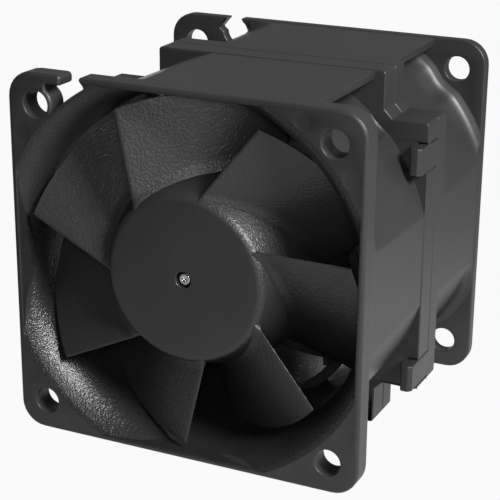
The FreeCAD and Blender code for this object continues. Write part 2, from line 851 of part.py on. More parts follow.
def retaining_ring(fan):
    """Split washer in the groove at the shaft's end, open on one side."""
    inside = "shaft_radius - groove_depth + fit_clearance"
    low = "lower_bearing_height - split_ring_thickness + fit_clearance"
    high = "lower_bearing_height - fit_clearance"
    body = turned_body(f"{fan}_retaining_ring", [
        (inside, low), ("split_ring_radius", low), ("split_ring_radius", high), (inside, high)])
    sketch = body_sketch(body, "XZ_Plane", f"{fan}_ring_gap")
    beyond = "split_ring_radius + cut_margin"
    draw_outline(sketch, [("0", "split_ring_slit / 2"), ("0", "-split_ring_slit / 2"),
                          (beyond, "-split_ring_slit / 2"), (beyond, "split_ring_slit / 2")])
    gap = body.newObject("PartDesign::Pocket", f"{fan}_ring_slit")
    gap.Profile = sketch
    gap.Type = "ThroughAll"
    gap.Midplane = True
    add_body(fan, "retaining_ring", body)


def preload_washer(fan):
    """Dished spring washer between the upper bearing's inner ring and the boss of the hub."""
    low = "(upper_bearing_height + bearing_width)"
    inner = "shaft_radius + washer_inset"
    outer = "shaft_radius + washer_inset + washer_width"
    add_body(fan, "preload_washer", turned_body(f"{fan}_preload_washer", [
        (inner, f"{low} + washer_height"),
        (inner, f"{low} + washer_height - washer_thickness"),
        (outer, low),
        (outer, f"{low} + washer_thickness")]))


def bearings(fan):
    """Two deep-groove ball bearings; the rings and the balls are each one node of two sets."""
    inner_bore = number("shaft_radius + fit_clearance")
    inner_out = inner_bore + number("ring_thickness")
    outer_in = number("bearing_radius - ring_thickness")
    outer_out = number("bearing_radius")
    width = number("bearing_width")
    ball = number("ball_radius")
    race = ball + number("ball_clearance")
    pitch = (inner_out + outer_in) / 2
    sets = {"bearing_outer_rings": [], "bearing_inner_rings": [], "bearing_balls": []}
    for start in (number("lower_bearing_height"), number("upper_bearing_height")):
        middle = start + width / 2
        groove = Part.makeTorus(pitch, race, V(0, middle, 0), V(0, 1, 0))
        sets["bearing_outer_rings"].append(ring_shape(outer_in, outer_out, start, width).cut(groove))
        sets["bearing_inner_rings"].append(ring_shape(inner_bore, inner_out, start, width).cut(groove))
        count = int(number("ball_count"))
        for index in range(count):
            spot = polar(pitch, index * 360.0 / count, middle)
            sets["bearing_balls"].append(Part.makeSphere(ball, spot, V(0, 1, 0)))
    for name, solids in sets.items():
        add_shape(fan, name, Part.makeCompound(solids))


def ring_shape(inner, outer, start, width):
    solid = Part.makeCylinder(outer, width, V(0, start, 0), V(0, 1, 0))
    return solid.cut(Part.makeCylinder(inner, width, V(0, start, 0), V(0, 1, 0)))


# A wedge tool's straight end stays outside the circle that it divides; the ring's wall of an
# insulator takes the middle part of a tooth's span; and a coil fills most of the room beside
# its tooth, with rounded edges. Each is a share of the size that it goes with.
WEDGE_REACH = 1.3
WALL_SPAN = 0.8
COIL_SIDE = 0.75
COIL_ROUND = 0.7


def tooth_pattern(low, height, neck, tip_low, outside, ring_outside, ring_inside, tip_half_angle):
    """A ring with evenly spaced T-shaped teeth, seen along the axis."""
    ring = ring_shape(ring_inside, ring_outside, low, height)
    solids = [ring]
    count = int(number("tooth_count"))
    bite = number("tooth_bite")
    shoe = ring_shape(tip_low, outside, low, height)
    for index in range(count):
        angle = index * 360.0 / count
        bar = Part.makeBox(outside - ring_inside - 2 * bite, height, neck,
                           V(ring_inside + bite, low, -neck / 2))
        bar = bar.common(Part.makeCylinder(outside, height, V(0, low, 0), V(0, 1, 0)))
        wedge = wedge_shape(outside * WEDGE_REACH, tip_half_angle, low, height)
        for piece in (bar, shoe.common(wedge)):
            piece = piece.copy()
            piece.rotate(V(0, 0, 0), V(0, 1, 0), -angle)
            solids.append(piece)
    return solids[0].fuse(solids[1:]).removeSplitter()


def wedge_shape(radius, half_angle, low, height):
    """A slice of pie about the X axis, as high as the stack."""
    points = [V(0, low, 0), polar(radius, -half_angle, low), polar(radius, half_angle, low), V(0, low, 0)]
    return Part.Face(Part.makePolygon(points)).extrude(V(0, height, 0))


def stator(fan):
    """Laminated core, an insulator on each of its faces, and a coil round each tooth."""
    low = number("stack_lift")
    stack = number("stack_height")
    bore = number("sleeve_radius - sleeve_step + fit_clearance")
    outside = number("hub_radius - hub_wall - yoke_wall - 2 * fit_clearance - magnet_thickness - air_gap")
    tooth = number("tooth_width")
    shoe = outside - number("tooth_tip")
    yoke = number("core_ring_radius")
    pitch = 360.0 / number("tooth_count")
    half_slot = math.degrees(number("slot_opening") / 2 / outside)
    tip_angle = pitch / 2 - half_slot
    add_shape(fan, "stator_core", tooth_pattern(low, stack, tooth, shoe, outside, yoke, bore, tip_angle))

    thick = number("insulator_thickness")
    inset = number("insulator_inset")
    wall = number("insulator_wall")
    flange = number("winding_build")
    covers = []
    for start, lip in ((low - thick, low - flange - thick), (low + stack, low + stack + thick)):
        cover = tooth_pattern(start, thick, tooth + 2 * thick, shoe + inset, outside - inset,
                              yoke, bore, tip_angle)
        wall_in = ring_shape(yoke - wall, yoke, lip, flange)
        wall_out = ring_shape(shoe + inset, shoe + wall, lip, flange)
        slots = []
        for index in range(int(number("tooth_count"))):
            part = wall_out.common(wedge_shape(outside * WEDGE_REACH, tip_angle * WALL_SPAN, lip, flange))
            part.rotate(V(0, 0, 0), V(0, 1, 0), -index * pitch)
            slots.append(part)
        covers.append(cover.fuse([wall_in] + slots).removeSplitter())
    add_shape(fan, "stator_insulator", Part.makeCompound(covers))

    coil = coil_shape(tooth, thick, yoke, shoe, low, stack, flange)
    coils = []
    for index in range(int(number("tooth_count"))):
        copy = coil.copy()
        copy.rotate(V(0, 0, 0), V(0, 1, 0), -index * pitch)
        coils.append(copy)
    add_shape(fan, "windings", Part.makeCompound(coils))


def coil_shape(tooth, thick, yoke, shoe, low, stack, build):
    """One coil: a round-cornered block with a hole for its tooth and the tooth's covers."""
    gap = number("winding_gap")
    inset = number("insulator_inset")
    margin = number("cut_margin")
    inside = yoke + inset
    length = shoe - inset - inside
    hole_wide = tooth + 2 * thick + 2 * gap
    hole_low = low - thick - gap
    hole_high = low + stack + thick + gap
    wide = hole_wide + 2 * build * COIL_SIDE
    tall_low = hole_low - build + gap
    tall_high = hole_high + build - gap
    block = Part.makeBox(length, tall_high - tall_low, wide, V(inside, tall_low, -wide / 2))
    edges = [edge for edge in block.Edges if abs(edge.tangentAt(0).x) > 0.9]
    block = block.makeFillet(build * COIL_ROUND, edges)
    hole = Part.makeBox(length * 2, hole_high - hole_low, hole_wide,
                        V(inside - length / 2, hole_low, -hole_wide / 2))
    tall = tall_high - tall_low + 2 * margin
    half_angle = number("180 / tooth_count - winding_spacing_angle")
    taper = wedge_shape(shoe * WEDGE_REACH, half_angle, tall_low - margin, tall)
    inside_shoe = Part.makeCylinder(shoe - inset, tall, V(0, tall_low - margin, 0), V(0, 1, 0))
    return block.cut(hole).common(taper).common(inside_shoe)


# The parts on the board: the angle round the axis and the distance from it, then the size
CHIPS = {
    "driver": {"angle": 20.0, "chip_radius": 9.2, "chip_length": 3.9, "chip_width": 3.0, "chip_height": 0.9},
    "sensor": {"angle": 75.0, "chip_radius": 9.4, "chip_length": 2.6, "chip_width": 1.6, "chip_height": 0.8},
    "diode": {"angle": 140.0, "chip_radius": 9.2, "chip_length": 3.2, "chip_width": 2.5, "chip_height": 0.9},
    "resistor": {"angle": 200.0, "chip_radius": 9.6, "chip_length": 2.0, "chip_width": 1.2, "chip_height": 0.8},
    "switch": {"angle": 250.0, "chip_radius": 9.2, "chip_length": 3.9, "chip_width": 3.0, "chip_height": 0.9},
    "capacitor": {"angle": 310.0, "chip_radius": 9.6, "chip_length": 1.6, "chip_width": 0.8, "chip_height": 0.7},
}


def circuit_board(fan):
    """Round board on the motor base, with the parts that stand on it."""
    low = number("base_thickness + board_lift")
    thick = number("board_thickness")
    inside = number("sleeve_radius + board_hole_clearance")
    board = ring_shape(inside, number("board_radius"), low, thick)
    lift = number("board_lift")
    count = int(number("pin_count"))
    pins = []
    for index in range(count):
        angle = number("pin_start_angle") + index * 360.0 / count
        spot = polar(number("board_radius - pin_inset"), angle, low - lift)
        pins.append(Part.makeCylinder(number("pin_radius"), lift, spot, V(0, 1, 0)))
    add_shape(fan, "circuit_board", board.fuse(pins).removeSplitter())
    top = low + thick
    parts = []
    for chip_law in CHIPS.values():
        long = chip_law["chip_length"]
        wide = chip_law["chip_width"]
        start = V(chip_law["chip_radius"] - long / 2, top, -wide / 2)
        chip = Part.makeBox(long, chip_law["chip_height"], wide, start)
        chip.rotate(V(0, 0, 0), V(0, 1, 0), -chip_law["angle"])
        parts.append(chip)
    add_shape(fan, "board_parts", Part.makeCompound(parts))


for fan in FANS:
    housing(fan)
    motor(fan)
    impeller(fan)

doc.recompute()

# Checks, then one STEP file for each node
for thing in doc.Objects:
    if "Invalid" in thing.State or "Error" in thing.State:
        raise RuntimeError(f"{thing.Name} did not compute: {thing.State}")

os.makedirs("parts", exist_ok=True)
for name, piece in nodes.items():
    shape = piece.Shape
    if shape.isNull() or not shape.isValid():
        raise RuntimeError(f"{name} has no valid shape")
    piece.Label = name
    shape.exportStep(f"parts/{name}.step")
    print(f"{name}: {len(shape.Solids)} solids, {shape.Volume:.1f} mm3")
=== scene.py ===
# %% [markdown]
# # A counter-rotating axial fan
# Rack servers and storage boxes are cooled by fans like this one: two square housings are clipped
# back to back, and each carries a motor with its own impeller. The two impellers turn opposite
# ways, so the second one takes the swirl out of the air that the first one throws back.
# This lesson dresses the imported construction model. What shows from outside is built again here
# as smooth surfaces, and the motor pieces inside keep their construction meshes and get finishes.

# %% Load the construction model
import math

import bmesh
import bpy
import numpy as np
from mathutils import Matrix, Vector
from mathutils.geometry import tessellate_polygon


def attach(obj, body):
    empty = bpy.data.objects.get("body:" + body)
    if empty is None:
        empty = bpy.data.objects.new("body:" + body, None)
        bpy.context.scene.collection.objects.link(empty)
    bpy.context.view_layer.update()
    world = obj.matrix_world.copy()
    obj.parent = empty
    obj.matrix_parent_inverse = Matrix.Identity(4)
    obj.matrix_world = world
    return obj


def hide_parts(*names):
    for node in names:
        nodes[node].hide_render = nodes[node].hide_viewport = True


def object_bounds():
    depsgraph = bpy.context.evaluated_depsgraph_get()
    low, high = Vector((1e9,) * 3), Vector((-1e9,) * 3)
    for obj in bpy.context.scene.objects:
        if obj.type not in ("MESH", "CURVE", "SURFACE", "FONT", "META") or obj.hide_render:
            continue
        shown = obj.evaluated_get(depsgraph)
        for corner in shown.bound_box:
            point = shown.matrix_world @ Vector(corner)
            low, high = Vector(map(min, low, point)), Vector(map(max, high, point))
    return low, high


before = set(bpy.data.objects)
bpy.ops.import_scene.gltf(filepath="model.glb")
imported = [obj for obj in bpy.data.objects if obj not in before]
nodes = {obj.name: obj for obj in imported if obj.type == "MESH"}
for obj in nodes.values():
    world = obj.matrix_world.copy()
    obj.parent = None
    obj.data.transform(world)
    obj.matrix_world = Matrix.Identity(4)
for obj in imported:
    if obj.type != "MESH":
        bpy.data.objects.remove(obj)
cad_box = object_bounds()
ends = [round(v * 1000, 2) for point in cad_box for v in point]
print("construction model:", len(nodes), "nodes, box", ends)

# %% [markdown]
# ## Sizes
# All sizes are in millimetres, as on the drawing. X points to the right, Z up and Y along the air
# flow; the middle of the box is the origin. A mesh gets them in metres at the very end.
# HALF is half the square's side and SEAM the plane where the housings meet. LIP is what stays of
# the face beside the mouth, and FLAT is where the duct's outside is cut off flat. Each housing
# stops SEAM_GAP short of the seam, which leaves its dark line. Pads and clips stand PROUD of the
# faces that they lie on, so that no two faces share a place.

# %% Sizes of the frame, the ducts and the rotors
MM = 0.001
HALF = 30.0
SEAM = 2.5
CORNER = 4.2
HOLE_PITCH = 50.0
HOLE_RADIUS = 2.15
THROAT = 28.6
LIP = 1.0
FLAT = 29.88
SEAM_GAP = 0.02
PROUD = 0.012

FRONT = {
    "name": "front", "side": -1, "depth": 30.5, "flange": 4.0, "edge": 0.55,
    "mouth": 32.3, "bell": 7.0, "duct_flange": 31.0, "duct_seam": 30.75, "rim": 4.6,
    "scoop": 5.2, "scoop_edge": 0.03, "scoop_end": 25.9, "blend": 0.9, "fillet": 0.7,
    "cone": 9.0, "blades": 7,
}
REAR = {
    "name": "rear", "side": 1, "depth": 25.5, "flange": 2.2, "edge": 0.3,
    "mouth": 30.4, "bell": 4.0, "duct_flange": 31.2, "duct_seam": 30.95, "rim": 3.8,
    "scoop": 4.7, "scoop_edge": 0.5, "scoop_end": 8.2, "blend": 2.6, "fillet": 1.9,
    "cone": 6.0, "blades": 5,
}


def above(fan, height):
    """Place on the Y axis of a point at this height above the seam, towards the fan's face."""
    return SEAM + fan["side"] * height


def along(fan, depth):
    """Place on the Y axis of a point that lies depth behind this fan's open face."""
    return SEAM + fan["side"] * (fan["depth"] - depth)


print("open faces at y =", along(FRONT, 0), "and", along(REAR, 0), "mm")

# %% [markdown]
# ## A skin of surfaces
# Every new piece is put together from grids, which are surfaces worked out as whole arrays, and
# from flat caps. Where two of them meet they have the same points, so that one weld at the end
# closes the skin. Caps are shaded flat and grids smooth, with a crease wherever two faces meet at
# a clear angle. The number of open edges that is printed for a piece should be zero. It isn't for
# the front rim and the four clips, as the section on rims says.

# %% Collect grids and caps, then make the piece
WELD = 2e-6


class Skin:
    """Surfaces in millimetres that make one piece."""

    def __init__(self):
        self.points = []
        self.faces = []
        self.smooth = []
        self.count = 0

    def add(self, points):
        """Keep the points and give the number of the first one."""
        points = np.asarray(points, float).reshape(-1, 3)
        first = self.count
        self.points.append(points)
        self.count += len(points)
        return first

    def grid(self, rows, around=True):
        """Quads between neighbouring rows of a (rows, columns, 3) array.
        With around, each row runs on from its last point to its first."""
        rows = np.asarray(rows, float)
        lines, columns = rows.shape[:2]
        index = self.add(rows) + np.arange(lines * columns).reshape(lines, columns)
        if around:
            index = np.hstack([index, index[:, :1]])
        quads = np.stack([index[:-1, :-1], index[:-1, 1:], index[1:, 1:], index[1:, :-1]], -1)
        quads = quads.reshape(-1, 4).tolist()
        self.faces += quads
        self.smooth += [True] * len(quads)

    def cap(self, loops, place):
        """Flat face inside the first loop and outside the others. Place turns the (n, 2) array
        of a loop into (n, 3)."""
        first = self.add(np.vstack([place(loop) for loop in loops]))
        flat = [[Vector((u, v, 0)) for u, v in loop] for loop in loops]
        triangles = [tuple(first + i for i in triangle) for triangle in tessellate_polygon(flat)]
        self.faces += triangles
        self.smooth += [False] * len(triangles)

    def piece(self, name, body, slot, stands_for, crease=32.0):
        """Weld the skin and make the object that stands for those construction nodes."""
        mesh = bpy.data.meshes.new(name)
        mesh.from_pydata((np.vstack(self.points) * MM).tolist(), [], self.faces)
        mesh.polygons.foreach_set("use_smooth", self.smooth)
        work = bmesh.new()
        work.from_mesh(mesh)
        bmesh.ops.remove_doubles(work, verts=work.verts, dist=WELD)
        bmesh.ops.dissolve_degenerate(work, edges=work.edges, dist=WELD / 2)
        bmesh.ops.recalc_face_normals(work, faces=work.faces)
        open_edges = sum(1 for edge in work.edges if not edge.is_manifold)
        work.to_mesh(mesh)
        work.free()
        mesh.set_sharp_from_angle(angle=math.radians(crease))
        made = bpy.data.objects.new(name, mesh)
        bpy.context.scene.collection.objects.link(made)
        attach(made, body)
        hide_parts(*stands_for)
        print(name, len(mesh.polygons), "faces,", open_edges, "open edges")
        return made


# %% [markdown]
# ## Outlines and plates
# Flanges, rims, clips and struts are all plates: an outline with holes, carried straight to its
# other face. A moulded edge is never quite sharp, and its small rounding is what catches the
# light, so each plate gets one. An outline is a list of corners with a radius each.

# %% Outlines with turned corners
def outline(corners, step=12.0):
    """Closed loop through (u, v, radius) corners. At a corner that turns by the angle t, the arc
    starts radius * tan(t / 2) before the corner and ends as far behind it. Step is the number of
    degrees between two points of an arc."""
    spots = np.array([corner[:2] for corner in corners], float)
    radii = [corner[2] if len(corner) > 2 else 0.0 for corner in corners]
    beside = zip(spots, np.roll(spots, 1, 0), np.roll(spots, -1, 0), radii)
    points = []
    for here, before, after, radius in beside:
        if radius <= 0:
            points.append(here[None])
            continue
        arrive = (here - before) / np.linalg.norm(here - before)
        leave = (after - here) / np.linalg.norm(after - here)
        turn = math.atan2(arrive[0] * leave[1] - arrive[1] * leave[0], arrive @ leave)
        reach = radius * math.tan(abs(turn) / 2)
        normal = np.array([-arrive[1], arrive[0]]) * math.copysign(1, turn)
        centre = here - arrive * reach + normal * radius
        steps = max(2, int(abs(math.degrees(turn)) / step) + 1)
        angles = np.linspace(0, abs(turn), steps)[:, None]
        points.append(centre - normal * radius * np.cos(angles) + arrive * radius * np.sin(angles))
    loop = np.vstack(points)
    gap = np.linalg.norm(loop - np.roll(loop, 1, 0), axis=1)
    return loop[gap > 1e-4]


def circle(radius, centre=(0.0, 0.0), count=96, clockwise=False):
    """Points at centre + radius * (cos a, sin a)."""
    angle = np.linspace(0, 2 * np.pi, count, endpoint=False) * (-1 if clockwise else 1)
    return np.stack([centre[0] + radius * np.cos(angle), centre[1] + radius * np.sin(angle)], 1)


def inset(loop, distance):
    """The loop moved to its left: each point goes along the middle of its two edges' normals,
    by distance over the cosine of half the turn, so that the edges stay parallel."""
    def left(edges):
        normals = np.stack([-edges[:, 1], edges[:, 0]], 1)
        return normals / np.linalg.norm(edges, axis=1, keepdims=True)

    ahead = left(np.roll(loop, -1, 0) - loop)
    middle = ahead + left(loop - np.roll(loop, 1, 0))
    middle /= np.linalg.norm(middle, axis=1, keepdims=True)
    stretch = distance / np.clip((middle * ahead).sum(1), 0.5, 1.0)
    return loop + middle * stretch[:, None]


def across_y(loop, y):
    """The loop's (u, v) as x and z, at that y."""
    return np.stack([loop[:, 0], np.full(len(loop), y), loop[:, 1]], 1)


def across_z(loop, z):
    """The loop's (u, v) as x and y, at that z."""
    return np.stack([loop[:, 0], loop[:, 1], np.full(len(loop), z)], 1)


# %% [markdown]
# A plate's wall has two rows close to its roundings, which keep the flat part evenly shaded. The
# ejector marks of a mould are pressed into the near face: their edge is given as steps inwards
# and downwards.

# %% Plates with rounded edges
LEDGE = 1.3
MARK_EDGE = ((0.0, 0.0), (0.05, 0.01), (0.12, 0.035), (0.2, 0.045))
MARK_POINTS = 40


def plate(skin, loops, near, far, rounding, place=across_y, steps=4, pits=(), bore=None,
          holes=None):
    """Carry loops from near to far. The edge is a quarter circle: at the angle t it lies
    rounding * (1 - sin t) inside the loop and rounding * (1 - cos t) below the face. Holes is the
    rounding of all loops but the first, if they have one of their own. Pits are the ejector
    marks. A bore is a hole that is given by its loops on the near and the far face."""
    sign = math.copysign(1, far - near)
    length = abs(far - near)
    turn = np.linspace(0, np.pi / 2, steps + 1)
    edges = []
    for loop in loops:
        edge = holes if edges and holes else rounding
        inward = edge * (1 - np.sin(turn))
        down = edge * (1 - np.cos(turn))
        wall = [edge * LEDGE, length - edge * LEDGE]
        offsets = np.concatenate([inward, [0, 0], inward[::-1]])
        depths = np.concatenate([down, wall, length - down[::-1]])
        skin.grid([place(inset(loop, o), near + sign * d) for o, d in zip(offsets, depths)])
        edges.append(inset(loop, edge))
    if bore:
        skin.grid([place(bore[0], near), place(bore[1], far)])
    marks = [circle(radius, centre, MARK_POINTS, clockwise=True) for centre, radius in pits]
    skin.cap(edges + marks + ([bore[0]] if bore else []), lambda loop: place(loop, near))
    skin.cap(edges + ([bore[1]] if bore else []), lambda loop: place(loop, far))
    inmost, bottom = MARK_EDGE[-1]
    for centre, radius in pits:
        skin.grid([place(circle(radius - inwards, centre, MARK_POINTS), near + sign * sunk)
                   for inwards, sunk in MARK_EDGE])
        skin.cap([circle(radius - inmost, centre, MARK_POINTS)],
                 lambda loop: place(loop, near + sign * bottom))


# %% [markdown]
# ## Shader maths as Python expressions
# A finish is written as a formula. Wire wraps one socket of the node tree, and +, - and * on it
# add Math nodes. Everything else comes from one method that takes a node's type, its settings
# and the values or links of its sockets. The Mix node has a set of sockets for each kind of
# value, so the numbers of its colour sockets get names.

# %% A small language for materials
MIX_LOW, MIX_HIGH, MIX_RESULT = 6, 7, 2


class Wire:
    """A node socket that can be used in arithmetic."""

    def __init__(self, finish, socket):
        self.finish = finish
        self.socket = socket

    def math(self, operation, *others):
        """A Math node on this wire and the others."""
        values = dict(enumerate((self,) + others))
        return self.finish.node("ShaderNodeMath", {"operation": operation}, values)

    def __add__(self, other):
        return self.math("ADD", other)

    def __sub__(self, other):
        return self.math("SUBTRACT", other)

    def __mul__(self, other):
        return self.math("MULTIPLY", other)

    def __rsub__(self, other):
        return (self * -1.0).math("ADD", other)

    __radd__ = __add__
    __rmul__ = __mul__

    def between(self, low, high):
        """0 below low, 1 above high, and smooth in between."""
        settings = {"interpolation_type": "SMOOTHSTEP"}
        values = {"Value": self, "From Min": low, "From Max": high, "To Min": 0.0, "To Max": 1.0}
        return self.finish.node("ShaderNodeMapRange", settings, values, "Result")


class Finish:
    """One material, built node by node."""

    def __init__(self, name):
        self.material = bpy.data.materials.new(name)
        self.material.use_nodes = True
        self.tree = self.material.node_tree
        self.shader = self.tree.nodes["Principled BSDF"]

    def node(self, kind, settings=None, values=None, output=0):
        """A new node, with its settings made and its sockets filled or linked."""
        made = self.tree.nodes.new(kind)
        for key, setting in (settings or {}).items():
            setattr(made, key, setting)
        for key, value in (values or {}).items():
            self.put(made.inputs[key], value)
        return Wire(self, made.outputs[output])

    def put(self, socket, value):
        """Link a wire to the socket, or set it to a colour of three numbers or to a number."""
        if isinstance(value, Wire):
            self.tree.links.new(value.socket, socket)
        elif isinstance(value, tuple):
            socket.default_value = (*value, 1.0)
        else:
            socket.default_value = value

    def set(self, **inputs):
        """Fill the shader's own sockets: Base_Color stands for Base Color."""
        for name, value in inputs.items():
            self.put(self.shader.inputs[name.replace("_", " ")], value)

    def place(self):
        """Object coordinates, in metres."""
        return self.node("ShaderNodeTexCoord", output="Object")

    def axes(self):
        """X, Y and Z of the object coordinates."""
        split = self.node("ShaderNodeSeparateXYZ", None, {0: self.place()})
        return [Wire(self, socket) for socket in split.socket.node.outputs]

    def noise(self, scale, detail=3.0, rough=0.5, where=None):
        """Smooth noise from 0 to 1, with that many cells in a metre."""
        values = {"Vector": where or self.place(), "Scale": scale, "Detail": detail,
                  "Roughness": rough}
        return self.node("ShaderNodeTexNoise", {"noise_dimensions": "3D"}, values)

    def cells(self, scale):
        """Distance to the nearest of a scatter of points."""
        values = {"Vector": self.place(), "Scale": scale}
        return self.node("ShaderNodeTexVoronoi", {"feature": "F1"}, values, "Distance")

    def waves(self, axis, scale, distortion, detail):
        """Bands from 0 to 1 that follow one another along the axis."""
        values = {"Vector": self.place(), "Scale": scale, "Distortion": distortion,
                  "Detail": detail}
        return self.node("ShaderNodeTexWave", {"bands_direction": axis}, values)

    def tint(self, share, low, high):
        """Colour from low to high as share goes from 0 to 1."""
        values = {0: share, MIX_LOW: low, MIX_HIGH: high}
        return self.node("ShaderNodeMix", {"data_type": "RGBA"}, values, MIX_RESULT)

    def relief(self, height, strength, depth):
        """Normal of a surface that rises by depth, in metres, as height goes from 0 to 1."""
        values = {"Height": height, "Strength": strength, "Distance": depth}
        return self.node("ShaderNodeBump", None, values, "Normal")


# %% [markdown]
# ## Moulded black plastic
# The housings are moulded in glass-filled plastic. The tool was spark-eroded, which leaves a fine
# sandy grain, and the glass makes the surface slightly uneven in gloss. Three noises do this: a
# slow one for the tone, a fine one for the grain and a cell pattern for single glinting pits.
# The impellers and the bell mouths have a coarser sand as well, whose facets sparkle where the
# key light strikes them. The bells are darker in colour than the rest of the same moulding, which
# is painted shade inside the duct. The hubs' faces are smoother. A noise's scale is cells in a
# metre, so 5200 makes grains of about 0.2 mm.

# %% Finishes of the housings and the impellers
CLOUDS = 60.0
SAND = 5200.0
PITS = 3300.0
COARSE_SAND = 2400.0
GRAIN_DEPTH = 0.00002
GLINT = 6.0


def moulded_plastic(name, dark, light, grain, roughness, glint=0.0):
    """Grain is the relief's strength, and glint how deep the coarser sand goes."""
    finish = Finish(name)
    cloud = finish.noise(CLOUDS, 4.0)
    fine = finish.noise(SAND, 2.0, 0.6)
    pits = finish.cells(PITS)
    share = cloud.between(0.3, 0.7) * 0.6 + fine.between(0.35, 0.65) * 0.4
    finish.set(Base_Color=finish.tint(share, dark, light))
    finish.set(Roughness=roughness + (fine - 0.5) * 0.22 + (cloud - 0.5) * 0.12)
    height = fine * 0.7 + pits * 0.5
    if glint:
        height = height + finish.noise(COARSE_SAND, 2.0, 0.7) * glint
    finish.set(Normal=finish.relief(height, grain, GRAIN_DEPTH))
    return finish.material


housing_finish = moulded_plastic(
    "housing_plastic_finish", (0.019, 0.019, 0.020), (0.029, 0.029, 0.030), 0.35, 0.44)
impeller_finish = moulded_plastic(
    "impeller_plastic_finish", (0.021, 0.021, 0.022), (0.033, 0.033, 0.034), 1.0, 0.34, GLINT)
hub_finish = moulded_plastic(
    "hub_plastic_finish", (0.021, 0.021, 0.022), (0.033, 0.033, 0.034), 0.3, 0.40)
duct_finish = moulded_plastic(
    "duct_plastic_finish", (0.018, 0.018, 0.019), (0.031, 0.031, 0.032), 0.35, 0.44)
# painted shade: the bell's colours are darker than the duct's outside and stand for the shade
# inside the duct; its coarse sand and lower roughness are real
bell_painted_shade_finish = moulded_plastic(
    "bell_plastic_painted_shade_finish", (0.012, 0.012, 0.013), (0.023, 0.023, 0.024), 1.0, 0.29, GLINT)
print("black plastics: 5, with", len(bell_painted_shade_finish.node_tree.nodes), "nodes in the richest")

# %% [markdown]
# ## The mouth and the bell
# Each open face has a round mouth that narrows to the throat along a stretch of an ellipse, the
# bell. The mouth is wider than the square housing allows, so a square window cuts it off on four
# sides. Every row of the skin has one point for each of the same directions round the axis.

# %% Radius of the opening in every direction and at every depth
COLUMNS = 720
BELL_END = math.radians(65.0)
ANGLE = np.linspace(0, 2 * np.pi, COLUMNS, endpoint=False)
SQUARE = 1.0 / np.maximum(np.abs(np.cos(ANGLE)), np.abs(np.sin(ANGLE)))
WINDOW = (HALF - LIP) * SQUARE


def mouth_radius(fan):
    """Radius of the opening in every direction: the mouth circle, cut off by the window."""
    return np.minimum(fan["mouth"], WINDOW)


def bell(fan, angle):
    """Depth and radius of the bell at an angle on its ellipse: 0 is the throat, BELL_END the
    mouth. depth = bell * (1 - sin a / sin end), and
    radius = throat + flare * (1 - cos a) / (1 - cos end)."""
    depth = fan["bell"] * (1 - np.sin(angle) / math.sin(BELL_END))
    radius = THROAT + (fan["mouth"] - THROAT) * (1 - np.cos(angle)) / (1 - math.cos(BELL_END))
    return depth, radius


def radius_angle(fan, radius):
    """Angle on the ellipse at which the bell has this radius, from the law above turned round."""
    share = (radius - THROAT) / (fan["mouth"] - THROAT)
    return np.arccos(1 - share * (1 - math.cos(BELL_END)))


def depth_angle(fan, depth):
    """Angle on the ellipse at which the bell has this depth."""
    return np.arcsin((1 - depth / fan["bell"]) * math.sin(BELL_END))


def bell_radius(fan, depth):
    """Radius of the opening at a depth, in every direction."""
    return np.minimum(bell(fan, depth_angle(fan, depth))[1], WINDOW)


def spin(radius, y):
    """Points at (r cos a, y, r sin a) all round, for a radius that may change with the angle."""
    return np.stack([radius * np.cos(ANGLE), np.full(COLUMNS, y), radius * np.sin(ANGLE)], 1)


half_cut = math.degrees(math.acos((HALF - LIP) / FRONT["mouth"]))
print("the window cuts the front mouth over", round(2 * half_cut, 1), "degrees on each side")

# %% [markdown]
# ## The flanges
# Each open face is a square flange with a screw hole in every corner. The front one is thick
# because the bell runs through it. A notch in the top edge, near the left corner, holds the
# leads: its two lips leave a mouth that a lead can be pushed through but doesn't fall out of.
# On the front face seven faint round marks, two near each corner but for the place of the notch,
# show where ejector pins pushed the moulding out of its tool.

# %% Outline of each notch, from right to left
def floor_arc(radius, left, right, count=9):
    """Points on the circle of that radius about the axis, from x = right to x = left."""
    x = np.linspace(right, left, count)
    return [(a, math.sqrt(radius * radius - a * a)) for a in x]


def arc(centre, radius, first, last, count=9):
    """Points on a circle from the first to the last angle in degrees."""
    turn = np.radians(np.linspace(first, last, count))
    return [(centre[0] + radius * math.cos(t), centre[1] + radius * math.sin(t)) for t in turn]


front_notch = (
    [(-17.75, HALF, 0.45), (-16.35, 28.3, 0.3)]
    + floor_arc(32.7, -22.25, -16.9)
    + arc((-25.0, 25.0), 2.9, -8.0, 52.0)
    + [(-23.2, 28.3, 0.3), (-20.45, 28.3, 0.5), (-20.45, HALF, 0.7)])
rear_notch = (
    [(-16.1, HALF, 0.15)]
    + arc((-17.1, 27.4), 2.35, 55.0, 0.0, 8)
    + floor_arc(30.95, -17.9, -14.85)
    + arc((-17.1, 27.4), 2.35, -118.0, -178.0, 7)
    + [(-20.3, 28.0, 0.25), (-18.6, HALF, 0.15)])
gap = front_notch[0][0] - front_notch[-1][0]
print("the front notch's lips leave", round(gap, 2), "mm")

# %% [markdown]
# A flange is a plate whose bore is the mouth. The duct's skin, which comes next, has the fine
# rounding of the mouth, so the bore starts where that rounding ends, and on the flange's far face
# it stays clear of the bell.

# %% Flanges with their screw holes and marks
EDGE_ROUND = 0.3
HOLE_ROUND = 0.2
BORE_CLEAR = 0.35
MARK_PLACE = (20.0, 27.75)
MARK_RADIUS = 1.45


def housing_piece(skin, fan, part, finish=housing_finish):
    """Make a piece of this fan's housing."""
    made = skin.piece(f"{fan['name']}_{part}", "frame", "housing_plastic",
                      [f"{fan['name']}_housing"])
    made.data.materials.append(finish)
    return made


